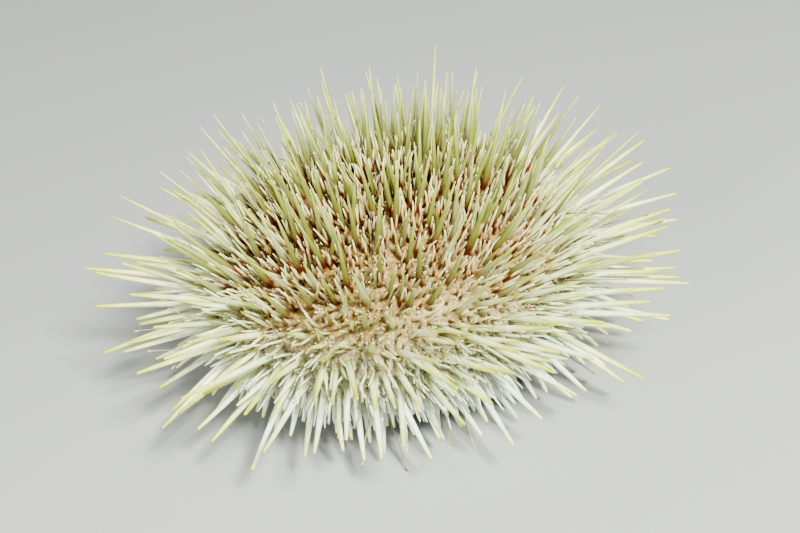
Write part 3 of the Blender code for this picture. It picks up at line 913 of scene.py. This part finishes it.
def collar_skin():
    """Moist muscle under skin: soft and satin, pigmented on top, with a grain of half a millimetre."""
    material, tree, shader = new_material("muscle_collar")
    along = add(tree, "ShaderNodeAttribute", attribute_name="along").outputs["Fac"]
    zone = add(tree, "ShaderNodeAttribute", attribute_name="zone").outputs["Fac"]
    foot = add(tree, "ShaderNodeValToRGB", {"Fac": zone}, stops=COLLAR_FOOT)
    rim = add(tree, "ShaderNodeValToRGB", {"Fac": zone}, stops=COLLAR_RIM)
    colour = add(tree, "ShaderNodeMix", {"Factor": along, 6: foot, 7: rim}, data_type="RGBA")
    place = add(tree, "ShaderNodeTexCoord").outputs["Object"]
    grain = add(tree, "ShaderNodeTexNoise", {"Vector": place, "Scale": COLLAR_GRAIN_SCALE, "Detail": 2.0})
    finish = {
        "Base Color": colour.outputs[2],
        "Normal": add(tree, "ShaderNodeBump", {"Strength": 0.3, "Distance": 0.0002, "Height": grain}),
        "Roughness": 0.4,
        "IOR": 1.4,
        "Subsurface Weight": 0.2,
        "Subsurface Scale": 0.0008,
        "Subsurface Radius": (1.0, 0.4, 0.25),
    }
    plug(shader, finish)
    return material


collar_fields = {
    **long_fields,
    "root": long_roots - long_fields["aim"] * COLLAR_SINK,
    "size": COLLAR_LENGTH * long_radii / (SPINE_THICK / 2),
    "girth": long_radii * COLLAR_GIRTH,
    "bow": np.zeros_like(long_roots),
}
grow_coat("muscle_collars", collar_fields, COLLAR_PROFILE, COLLAR_SIDES, collar_skin())

# The short spines. Secondary spines of the same calcite crowd between the long ones, one every 2 mm, each
# on a small boss of its own: cream with a maroon foot on top of the shell, white at the sides and below.
SHORT_SIDES = 6
SMALL_SEED = 23
SHORT_UPPER_ZONE = 0.4
BARE_CENTRE = 0.0016
BARE_HALF = 0.0012
BARE_REACH = 0.030
MOUTH_MARGIN = 0.0008
TRIES_PER_PLACE = 20
SIZE_LIMITS = (0.5, 1.6)
SHORT_PROFILE = (
    (0.00, 0.0),
    (0.00, 0.85),
    (0.10, 1.05),
    (0.16, 0.90),
    (0.45, 0.92),
    (0.80, 0.66),
    (0.97, 0.38),
    (1.00, 0.0),
)
SHORT_ABOVE = (
    (0.00, "#440e08"),
    (0.32, "#5c160c"),
    (0.40, "#94522c"),
    (0.50, "#d6bc80"),
    (0.68, "#f0e6aa"),
    (1.00, "#faf8cc"),
)
SHORT_ASIDE = (
    (0.00, "#94704c"),
    (0.16, "#b8ac7c"),
    (0.30, "#dce4b8"),
    (0.70, "#ecf4d6"),
    (1.00, "#e8f0b2"),
)
SHORT_BELOW = ((0.00, "#b4b4a8"), (0.30, "#dce2d8"), (1.00, "#f2f6ea"))


def on_skin(along, bearing):
    """A point of the skin and the direction out of it. Places above the top row lie on the apical disc."""
    if along >= 0:
        return on_test(along, bearing)
    side = toward(bearing)
    radius = DISC_RADIUS + along
    share = radius / DISC_RADIUS
    out = side * share * DISC_SPLAY / 2 + [0, 0, 1]
    level = DISC_LEVEL + DISC_RISE * (1 - share * share)
    return side * radius + [0, 0, level], out / np.linalg.norm(out)


def on_bare_line(along, bearing, radius):
    """Whether a place is on the bare line down the middle of an ambulacrum, on the upper side."""
    away = (bearing - FIRST_RAY + RAY_TURN / 2) % RAY_TURN - RAY_TURN / 2
    return 0 < along < BARE_REACH and radius * abs(away) < BARE_HALF


def scatter(wanted, spacing, room, seed):
    """Points of the skin with the direction out of each, spaced apart and clear of the long spines."""
    draw = np.random.default_rng(seed)
    cells = {}
    found = []
    for _ in range(wanted * TRIES_PER_PLACE):
        if len(found) == wanted:
            break
        along = draw.uniform(BARE_CENTRE - DISC_RADIUS, ALONG[-1] - MOUTH_MARGIN)
        bearing = draw.uniform(0, 2 * math.pi)
        point, normal = on_skin(along, bearing)
        radius = math.hypot(point[0], point[1])
        if draw.uniform() * TEST_RADIUS > radius or on_bare_line(along, bearing, radius):
            continue
        key = tuple(int(value // spacing) for value in point)
        around = [
            other
            for shift in np.ndindex(3, 3, 3)
            for other in cells.get(tuple(k + s - 1 for k, s in zip(key, shift)), ())
        ]
        if any(math.dist(point, other) < spacing for other in around):
            continue
        if roots_tree.find(Vector(point))[2] < room:
            continue
        cells.setdefault(key, []).append(point)
        found.append((point, normal))
    return [np.array(column) for column in zip(*found)]


def scattered_fields(wanted, spacing, room, lengths, spread, girths, lean, bow, seed, sink):
    """Fields for rods on scattered places, with lengths by slope, that stay off the floor."""
    roots, normals = scatter(wanted, spacing, room, seed)
    draw = np.random.default_rng(seed)
    aims = normals + draw.normal(0, lean, normals.shape)
    aims[:, 0] += np.maximum(0.0, -normals[:, 1]) * FRONT_SWEEP
    aims /= np.linalg.norm(aims, axis=1)[:, None]
    slopes = np.degrees(np.arccos(np.clip(normals[:, 2], -1, 1)))
    shares = np.clip(draw.normal(1, spread, len(slopes)), *SIZE_LIMITS)
    down = np.maximum(-aims[:, 2], 1e-6)
    to_floor = np.where(aims[:, 2] < 0, (roots[:, 2] - FLOOR_CLEARANCE) / down, 1.0)
    sizes = np.minimum(np.interp(slopes, *zip(*lengths)) * shares, to_floor)
    return fields_of(roots, aims, sizes, draw.uniform(*girths, len(sizes)), bow, seed + 1, sink)


scattered = scattered_fields(
    wanted=4200,
    spacing=0.0019,
    room=0.0011,
    lengths=((0, 0.0065), (40, 0.0080), (80, 0.0088), (110, 0.0078), (150, 0.0045), (180, 0.0035)),
    spread=0.16,
    girths=(0.00036, 0.00052),
    lean=math.radians(9),
    bow=0.06,
    seed=31,
    sink=0.0004,
)
on_bosses = fields_of_spines(small_spines, SMALL_SEED)
short_fields = {field: np.concatenate([scattered[field], on_bosses[field]]) for field in scattered}
upper = short_fields["zone"] < SHORT_UPPER_ZONE
short_calcite = calcite_spine("short_spine_calcite", SHORT_ABOVE, SHORT_ASIDE, SHORT_BELOW)
grow_coat("short_spines_upper", some_of(short_fields, upper), SHORT_PROFILE, SHORT_SIDES, short_calcite)
grow_coat("short_spines_lower", some_of(short_fields, ~upper), SHORT_PROFILE, SHORT_SIDES, short_calcite)

# The miliary spines. The smallest spines, of the same calcite, fill the last gaps between the others. They
# are 2 to 3 mm long with a slightly swollen end, each on a boss like a grain of sand.
MILIARY_SIDES = 5
MILIARY_PROFILE = (
    (0.00, 0.0),
    (0.00, 1.0),
    (0.55, 0.85),
    (0.90, 1.15),
    (1.00, 0.0),
)
miliary_fields = scattered_fields(
    wanted=3200,
    spacing=0.0015,
    room=0.0009,
    lengths=((0, 0.0018), (60, 0.0021), (90, 0.0028), (180, 0.0022)),
    spread=0.2,
    girths=(0.00014, 0.00020),
    lean=math.radians(14),
    bow=0.08,
    seed=41,
    sink=0.0003,
)
grow_coat("miliary_spines", miliary_fields, MILIARY_PROFILE, MILIARY_SIDES, short_calcite)

# The pedicellariae. Tiny three-jawed pincers on thin stalks stand all over the skin and pick it clean. Jaws
# of calcite sit in soft flesh, which shows as a rust brown head on a pale stalk.
PINCER_SIDES = 6
PINCER_PROFILE = (
    (0.00, 0.0),
    (0.00, 0.40),
    (0.60, 0.28),
    (0.74, 0.30),
    (0.80, 0.85),
    (0.88, 1.00),
    (0.96, 0.62),
    (1.00, 0.0),
)


def soft_flesh(name, stalk_code, end_code, cloud_scale, weight):
    """Soft, moist, half clear tissue, with faint clouds of a millimetre and an end of another colour."""
    material, tree, shader = new_material(name)
    along = add(tree, "ShaderNodeAttribute", attribute_name="along").outputs["Fac"]
    stops = ((0.0, stalk_code), (0.72, stalk_code), (1.0, end_code))
    colour = add(tree, "ShaderNodeValToRGB", {"Fac": along}, stops=stops)
    place = add(tree, "ShaderNodeTexCoord").outputs["Object"]
    cloud = add(tree, "ShaderNodeTexNoise", {"Vector": place, "Scale": cloud_scale, "Detail": 3.0})
    light = add(
        tree,
        "ShaderNodeMapRange",
        {"Value": cloud, "From Min": 0.3, "From Max": 0.7, "To Min": 0.82, "To Max": 1.1},
    )
    finish = {
        "Base Color": add(tree, "ShaderNodeVectorMath", {0: colour, "Scale": light}, operation="SCALE"),
        "Normal": add(tree, "ShaderNodeBump", {"Strength": 0.3, "Distance": 0.0001, "Height": cloud}),
        "Roughness": 0.35,
        "IOR": 1.4,
        "Subsurface Weight": weight,
        "Subsurface Scale": 0.0008,
        "Subsurface Radius": (0.8, 0.7, 0.6),
    }
    plug(shader, finish)
    return material


pincer_fields = scattered_fields(
    wanted=420,
    spacing=0.0042,
    room=0.0011,
    lengths=((0, 0.0046), (90, 0.0050), (180, 0.0034)),
    spread=0.2,
    girths=(0.00030, 0.00042),
    lean=math.radians(16),
    bow=0.15,
    seed=51,
    sink=0.0003,
)
pincer_flesh = soft_flesh("pedicellaria_flesh", "#efe6d2", "#b97a48", cloud_scale=900.0, weight=0.3)
grow_coat("pedicellariae", pincer_fields, PINCER_PROFILE, PINCER_SIDES, pincer_flesh)

# The tube feet. Two columns of slender water-filled feet run down each ambulacrum, of half clear muscle and
# skin, each through a pore of its plate, with a flat sucker at its end. Some are stretched out between the
# spines, more are drawn in.
FOOT_ROW = 0.0026
FOOT_EDGE = 0.78
FOOT_TOP = 0.004
FOOT_BOTTOM = 0.002
FOOT_NUDGE = 0.0006
FOOT_TURN = 0.02
FOOT_ROOM = 0.0008
FOOT_SHORTEST = 0.002
FOOT_SEED = 61
FOOT_SIDES = 8
FOOT_GIRTH = 0.00020
FOOT_OUT_SHARE = 0.42
FOOT_OUT = (0.014, 0.026)
FOOT_IN = (0.003, 0.006)
FOOT_LEAN = math.radians(15)
FOOT_BOW = 0.22
FOOT_SINK = 0.0004
GIRTH_SPREAD = (0.8, 1.2)
FOOT_PROFILE = (
    (0.00, 0.0),
    (0.00, 1.25),
    (0.10, 1.05),
    (0.30, 0.88),
    (0.60, 0.78),
    (0.93, 0.72),
    (0.955, 1.20),
    (0.97, 1.80),
    (0.99, 1.85),
    (1.00, 1.20),
    (1.00, 0.0),
)


def fields_of_feet():
    """The fields of the tube feet. Those that end near the floor are straight."""
    draw = np.random.default_rng(FOOT_SEED)
    roots, aims, sizes = [], [], []
    edges = [side * AMBULACRUM_HALF * FOOT_EDGE for side in (-1, 1)]
    bearings = [FIRST_RAY + ray * RAY_TURN + edge for ray in range(RAYS) for edge in edges]
    for bearing in bearings:
        for along in np.arange(FOOT_TOP, ALONG[-1] - FOOT_BOTTOM, FOOT_ROW):
            turn = bearing + draw.uniform(-FOOT_TURN, FOOT_TURN)
            root, normal = on_test(along + draw.uniform(-FOOT_NUDGE, FOOT_NUDGE), turn)
            reach = FOOT_OUT if draw.uniform() < FOOT_OUT_SHARE else FOOT_IN
            length = draw.uniform(*reach)
            aim = normal + draw.normal(0, FOOT_LEAN, 3) + [FRONT_SWEEP * max(0.0, -normal[1]), 0, 0]
            aim /= np.linalg.norm(aim)
            if aim[2] < 0:
                length = min(length, (root[2] - FLOOR_CLEARANCE) / -aim[2])
            if roots_tree.find(Vector(root))[2] > FOOT_ROOM and length > FOOT_SHORTEST:
                roots.append(root)
                aims.append(aim)
                sizes.append(length)
    sizes = np.array(sizes)
    girths = FOOT_GIRTH * draw.uniform(*GIRTH_SPREAD, len(sizes))
    fields = fields_of(np.array(roots), np.array(aims), sizes, girths, FOOT_BOW, FOOT_SEED, FOOT_SINK)
    tips = fields["root"] + fields["aim"] * fields["size"][:, None] + fields["bow"]
    fields["bow"][tips[:, 2] < 2 * FLOOR_CLEARANCE] = 0.0
    return fields


foot_flesh = soft_flesh("tube_foot_flesh", "#94946c", "#b8b094", cloud_scale=700.0, weight=0.5)
grow_coat("tube_feet", fields_of_feet(), FOOT_PROFILE, FOOT_SIDES, foot_flesh)

# The mouth membrane. A soft disc of thick skin closes the shell below and is grown to its rim. It is set
# with small loose plates, has five pairs of mouth feet on raised plates, and a folded lip round the teeth.
MEMBRANE_HOLLOW = 0.0009
LIP_INNER = 0.0052
LIP_OUTER = 0.0070
LIP_DROP = 0.0008
LIP_REACH = 0.0009
LIP_FOLDS = 40
LIP_FOLD_DEPTH = 0.00018
MEMBRANE_ROWS = 46
MEMBRANE_COLUMNS = 240
MEMBRANE_LAP = 0.0003
MOUTH_FOOT_RING = 0.0098
MOUTH_FOOT_LENGTH = 0.0034
MOUTH_FOOT_RADIUS = 0.0007
MOUTH_FOOT_SPLAY = math.radians(12)
MOUTH_FOOT_BOW = 0.1
MOUTH_FOOT_SEED = 71
MOUTH_FOOT_SINK = 0.0005
MOUTH_FOOT_SIDES = 12
MOUTH_PLATE_RADIUS = 0.0013
MOUTH_PLATE_RISE = 0.0004
MEMBRANE_UNWRAP = (0.02, 0.45)
# The loose plates are about 1.1 mm apart.
LOOSE_PLATE_SCALE = 900.0
PLATE_COLOURS = ((0.0, "#8a5a48"), (0.10, "#b98a72"), (0.32, "#d9bfa8"))
MEMBRANE_OUTLINE = np.array(
    (
        (MOUTH_RADIUS * 0.5, ROOF_LEVEL - GAP),
        (MOUTH_RADIUS + MEMBRANE_LAP, ROOF_LEVEL - 2 * GAP),
        (MOUTH_RADIUS + MEMBRANE_LAP, MOUTH_LEVEL + GAP),
        (MOUTH_RADIUS - GAP, MOUTH_LEVEL + GAP / 2),
        ((MOUTH_RADIUS + LIP_OUTER) / 2, MOUTH_LEVEL + MEMBRANE_HOLLOW),
        (LIP_OUTER, MOUTH_LEVEL),
        ((LIP_INNER + LIP_OUTER) / 2, MOUTH_LEVEL - LIP_DROP),
        (LIP_INNER, MOUTH_LEVEL),
        (LIP_INNER * 0.9, MOUTH_LEVEL + MEMBRANE_HOLLOW),
        (LIP_INNER * 0.5, MOUTH_LEVEL + MEMBRANE_HOLLOW),
    )
)
MEMBRANE_STEPS = np.concatenate([[0.0], np.cumsum(np.hypot(*np.diff(MEMBRANE_OUTLINE, axis=0).T))])
MOUTH_BEARINGS = [
    FIRST_RAY + ray * RAY_TURN + side * AMBULACRUM_HALF for ray in range(RAYS) for side in (-0.5, 0.5)
]
MOUTH_OUTWARD = np.array([toward(bearing) for bearing in MOUTH_BEARINGS])
MOUTH_FOOT_PROFILE = (
    (0.00, 0.0),
    (0.00, 1.20),
    (0.20, 1.00),
    (0.55, 0.85),
    (0.78, 0.90),
    (0.86, 1.35),
    (0.95, 1.50),
    (1.00, 1.10),
    (1.00, 0.0),
)


def membrane_point(row, column):
    """A point of the membrane, its zone, and its place on an unwrap of its own."""
    at = MEMBRANE_STEPS[-1] * (row - 1) / (MEMBRANE_ROWS - 2)
    radius, level = (np.interp(at, MEMBRANE_STEPS, MEMBRANE_OUTLINE[:, axis]) for axis in (0, 1))
    bearing = 2 * math.pi * column / MEMBRANE_COLUMNS
    point = toward(bearing) * radius
    if level < ROOF_LEVEL - 4 * GAP:
        lip = fall_off(radius - (LIP_INNER + LIP_OUTER) / 2, LIP_REACH)
        near = np.linalg.norm(MOUTH_OUTWARD * MOUTH_FOOT_RING - point, axis=1).min()
        level -= LIP_FOLD_DEPTH * lip * math.cos(bearing * LIP_FOLDS)
        level -= MOUTH_PLATE_RISE * math.exp(-((near / MOUTH_PLATE_RADIUS) ** 4))
    start, span = MEMBRANE_UNWRAP
    share = start + span * at / MEMBRANE_STEPS[-1]
    return point + [0, 0, level], 1.0, tuple(0.5 + share * toward(bearing)[:2])


def mouth_skin():
    """Thick moist skin over loose plates: pinkish brown with pale plates, satin, pebbled."""
    material, tree, shader = new_material("mouth_membrane_skin")
    place = add(tree, "ShaderNodeTexCoord").outputs["Object"]
    pattern = {"Vector": place, "Scale": LOOSE_PLATE_SCALE}
    plates = add(tree, "ShaderNodeTexVoronoi", pattern, feature="DISTANCE_TO_EDGE")
    finish = {
        "Base Color": add(tree, "ShaderNodeValToRGB", {"Fac": plates}, stops=PLATE_COLOURS),
        "Normal": add(tree, "ShaderNodeBump", {"Strength": 0.6, "Distance": 0.0003, "Height": plates}),
        "Roughness": 0.4,
        "IOR": 1.4,
        "Subsurface Weight": 0.2,
        "Subsurface Scale": 0.001,
    }
    plug(shader, finish)
    return material


membrane = ring_mesh(
    "mouth_membrane",
    MEMBRANE_ROWS,
    MEMBRANE_COLUMNS,
    membrane_point,
    ((0.0, 0.0, ROOF_LEVEL - GAP), 1.0, (0.5, 0.5)),
    ((0.0, 0.0, MOUTH_LEVEL + MEMBRANE_HOLLOW), 1.0, (0.99, 0.5)),
)
settle("mouth_membrane", membrane, mouth_skin(), "mouth_skin", "peristome")

mouth_foot_fields = fields_of(
    MOUTH_OUTWARD * MOUTH_FOOT_RING + [0, 0, MOUTH_LEVEL + MEMBRANE_HOLLOW],
    MOUTH_OUTWARD * math.sin(MOUTH_FOOT_SPLAY) + [0, 0, -math.cos(MOUTH_FOOT_SPLAY)],
    np.full(len(MOUTH_OUTWARD), MOUTH_FOOT_LENGTH),
    np.full(len(MOUTH_OUTWARD), MOUTH_FOOT_RADIUS),
    MOUTH_FOOT_BOW,
    MOUTH_FOOT_SEED,
    MOUTH_FOOT_SINK,
)
mouth_foot_flesh = soft_flesh("mouth_foot_flesh", "#d9b39a", "#b88468", cloud_scale=900.0, weight=0.4)
grow_coat(
    "mouth_feet", mouth_foot_fields, MOUTH_FOOT_PROFILE, MOUTH_FOOT_SIDES, mouth_foot_flesh, "mouth_skin"
)

# The gills. Ten small bushes of thin-walled fingers of skin stand where the shell meets the mouth membrane,
# one on each side of each ambulacrum, and breathe for the jaws inside.
GILL_FINGERS = 14
GILL_LENGTH = 0.0024
GILL_LENGTH_SPREAD = (0.7, 1.2)
GILL_GIRTH = 0.00026
GILL_SIDES = 6
GILL_SEED = 81
GILL_PLACE = 1.15
GILL_TURN = 0.035
GILL_RING = (-0.0006, 0.0004)
GILL_RISE = 0.0004
GILL_SPLAY = (-0.3, 0.5)
GILL_LEAN = 0.25
GILL_BOW = 0.3
GILL_SINK = 0.0004
GILL_PROFILE = ((0.00, 0.0), (0.00, 0.8), (0.50, 0.8), (0.85, 1.0), (1.00, 0.0))


def fields_of_gills():
    """The fields of the gills' fingers, which splay from ten places round the mouth."""
    draw = np.random.default_rng(GILL_SEED)
    roots, aims = [], []
    for bearing in MOUTH_BEARINGS:
        middle = FIRST_RAY + round((bearing - FIRST_RAY) / RAY_TURN) * RAY_TURN
        turn = middle + math.copysign(AMBULACRUM_HALF * GILL_PLACE, bearing - middle)
        for _ in range(GILL_FINGERS):
            side = toward(turn + draw.normal(0, GILL_TURN))
            roots.append(side * (MOUTH_RADIUS + draw.uniform(*GILL_RING)) + [0, 0, MOUTH_LEVEL + GILL_RISE])
            aim = side * draw.uniform(*GILL_SPLAY) + [0, 0, -1] + draw.normal(0, GILL_LEAN, 3)
            aims.append(aim / np.linalg.norm(aim))
    sizes = GILL_LENGTH * draw.uniform(*GILL_LENGTH_SPREAD, len(roots))
    girths = GILL_GIRTH * draw.uniform(*GIRTH_SPREAD, len(roots))
    return fields_of(np.array(roots), np.array(aims), sizes, girths, GILL_BOW, GILL_SEED, GILL_SINK)


gill_flesh = soft_flesh("gill_flesh", "#caa08a", "#e0c2ac", cloud_scale=1200.0, weight=0.5)
grow_coat("gills", fields_of_gills(), GILL_PROFILE, GILL_SIDES, gill_flesh, "mouth_skin")

# The teeth. Five chisels of hard white calcite close together under the middle of the mouth. Each grows
# down from the jaws inside all its life, and wears sharp against its neighbours.
TOOTH_WIDTH = 0.0024
TOOTH_TIP_WIDTH = 0.0009
TOOTH_ROWS = 12
TOOTH_SIDES = 12
TOOTH_CORNER = 0.30
TOOTH_BELLY = 0.00025
TOOTH_THINNING = 0.5
TOOTH_FIT = 0.97
# Growth lines about every 0.2 mm: the wave pattern turns 20 radians a metre at a scale of 1.
TOOTH_LINE_SCALE = 1500.0
TOOTH_COLOURS = ((0.0, "#e4e0d0"), (0.5, "#efede2"), (1.0, "#f6f5ee"))


def tooth_mesh(number):
    """A chisel inside the box of its solid: square above, a narrow edge below, bellied outwards."""
    low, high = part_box(f"tooth_{number + 1}")
    bearing = FIRST_RAY + (number + 0.5) * RAY_TURN
    outward = Vector(toward(bearing))
    across = Vector((-outward.y, outward.x, 0.0))
    points = []
    for row in range(TOOTH_ROWS + 1):
        share = row / TOOTH_ROWS
        half = (TOOTH_WIDTH + (TOOTH_TIP_WIDTH - TOOTH_WIDTH) * share) / 2
        inner = half / math.tan(RAY_TURN / 2) + GAP / math.sin(RAY_TURN / 2)
        middle = outward * (half + inner + TOOTH_BELLY * math.sin(math.pi * share))
        thin = 1 - TOOTH_THINNING * share**2
        for turn in range(TOOTH_SIDES):
            x, y, _ = toward(2 * math.pi * turn / TOOTH_SIDES)
            stretch = 1 / max(abs(x), abs(y)) * (1 - TOOTH_CORNER) + TOOTH_CORNER
            reach = stretch * half * TOOTH_FIT
            spot = middle + outward * (x * reach * thin) + across * (y * reach)
            points.append((spot.x, spot.y, high.z - (high.z - low.z) * share))
    ring = range(TOOTH_SIDES)
    faces = [tuple(ring), tuple(reversed([TOOTH_ROWS * TOOTH_SIDES + turn for turn in ring]))]
    for row in range(TOOTH_ROWS):
        upper = row * TOOTH_SIDES
        lower = upper + TOOTH_SIDES
        for turn in ring:
            beside = (turn + 1) % TOOTH_SIDES
            faces.append((upper + turn, lower + turn, lower + beside, upper + beside))
    mesh = bpy.data.meshes.new(f"chisel_tooth_{number + 1}")
    mesh.from_pydata(points, [], faces)
    mesh.shade_smooth()
    return mesh


def tooth_calcite():
    """Hard calcite, white and polished by use, with faint growth lines down its length."""
    material, tree, shader = new_material("tooth_calcite")
    place = add(tree, "ShaderNodeTexCoord").outputs["Object"]
    pattern = {"Vector": place, "Scale": TOOTH_LINE_SCALE, "Distortion": 2.0}
    lines = add(tree, "ShaderNodeTexWave", pattern, bands_direction="Z").outputs["Fac"]
    finish = {
        "Base Color": add(tree, "ShaderNodeValToRGB", {"Fac": lines}, stops=TOOTH_COLOURS),
        "Normal": add(tree, "ShaderNodeBump", {"Strength": 0.1, "Distance": 0.00004, "Height": lines}),
        "Roughness": 0.22,
        "IOR": 1.6,
    }
    plug(shader, finish)
    return material


tooth_finish = tooth_calcite()
for number in range(RAYS):
    settle(f"chisel_tooth_{number + 1}", tooth_mesh(number), tooth_finish, "tooth", f"tooth_{number + 1}")

# The floor, the lights and the camera. A plain pale studio floor curves up far away. The camera has the
# photograph's viewing angle: in front, 30 degrees above, and rolled so that the right side stands higher.
CAMERA_DISTANCE = 0.45
CAMERA_RISE = math.radians(30)
CAMERA_ROLL = math.radians(8.6)
CAMERA_LENS = 70.0
CAMERA_AIM = Vector((0.0, 0.0, 0.031))
PHOTO_WIDTH = 800
PHOTO_SHIFT = (7, -4.5)
FLOOR_RADIUS = 1.6
COVE_RADIUS = 0.9
COVE_STEPS = 12
COVE_COLUMNS = 96
COVE_TURNS = [math.pi / 2 * step / COVE_STEPS for step in range(COVE_STEPS + 1)]

cove_points = [(0.0, 0.0, 0.0)]
cove_faces = []
for rise in COVE_TURNS:
    radius = FLOOR_RADIUS + COVE_RADIUS * math.sin(rise)
    for column in range(COVE_COLUMNS):
        x, y, _ = toward(2 * math.pi * column / COVE_COLUMNS) * radius
        cove_points.append((x, y, COVE_RADIUS * (1 - math.cos(rise))))
for column in range(COVE_COLUMNS):
    beside = (column + 1) % COVE_COLUMNS
    cove_faces.append((0, 1 + column, 1 + beside))
    for row in range(COVE_STEPS):
        inner = 1 + row * COVE_COLUMNS
        outer = inner + COVE_COLUMNS
        cove_faces.append((inner + column, outer + column, outer + beside, inner + beside))
floor_mesh = bpy.data.meshes.new("studio_floor")
floor_mesh.from_pydata(cove_points, [], cove_faces)
floor_mesh.shade_smooth()
floor = bpy.data.objects.new("studio_floor", floor_mesh)
bpy.context.scene.collection.objects.link(floor)
paint, _, paint_shader = new_material("matt_floor_paint")
plug(paint_shader, {"Base Color": linear("#adaeb0"), "Roughness": 0.9})
floor_mesh.materials.append(paint)


def soft_light(name, place, size, power, tint):
    """A soft box that faces the urchin."""
    lamp = bpy.data.lights.new(name, "AREA")
    lamp.size = size
    lamp.energy = power
    lamp.color = tint
    box = bpy.data.objects.new(name, lamp)
    box.location = place
    box.rotation_euler = (CAMERA_AIM - Vector(place)).to_track_quat("-Z", "Y").to_euler()
    bpy.context.scene.collection.objects.link(box)


# The tints follow the light of the photograph, which is a little green.
soft_light("key_light", (0.35, -0.75, 0.85), size=0.20, power=38.0, tint=(0.96, 1.0, 0.87))
soft_light("fill_light", (-0.7, -0.6, 0.45), size=0.6, power=6.0, tint=(0.97, 1.0, 0.97))
soft_light("back_light", (-0.2, 0.8, 0.6), size=0.5, power=2.0, tint=(1.0, 1.0, 1.0))

world = bpy.data.worlds.new("studio_air")
world.use_nodes = True
plug(world.node_tree.nodes["Background"], {"Color": (0.83, 0.83, 0.83, 1.0), "Strength": 0.12})
bpy.context.scene.world = world

lens = bpy.data.cameras.new("camera")
lens.lens = CAMERA_LENS
lens.shift_x = PHOTO_SHIFT[0] / PHOTO_WIDTH
lens.shift_y = PHOTO_SHIFT[1] / PHOTO_WIDTH
lens.clip_start = 0.01
camera = bpy.data.objects.new("camera", lens)
back = Vector((0.0, -math.cos(CAMERA_RISE), math.sin(CAMERA_RISE)))
camera.location = CAMERA_AIM + back * CAMERA_DISTANCE
turned = (-back).to_track_quat("-Z", "Y").to_matrix() @ Matrix.Rotation(-CAMERA_ROLL, 3, "Z")
camera.rotation_euler = turned.to_euler()
bpy.context.scene.collection.objects.link(camera)
bpy.context.scene.camera = camera
bpy.context.scene.view_settings.look = "AgX - Medium High Contrast"
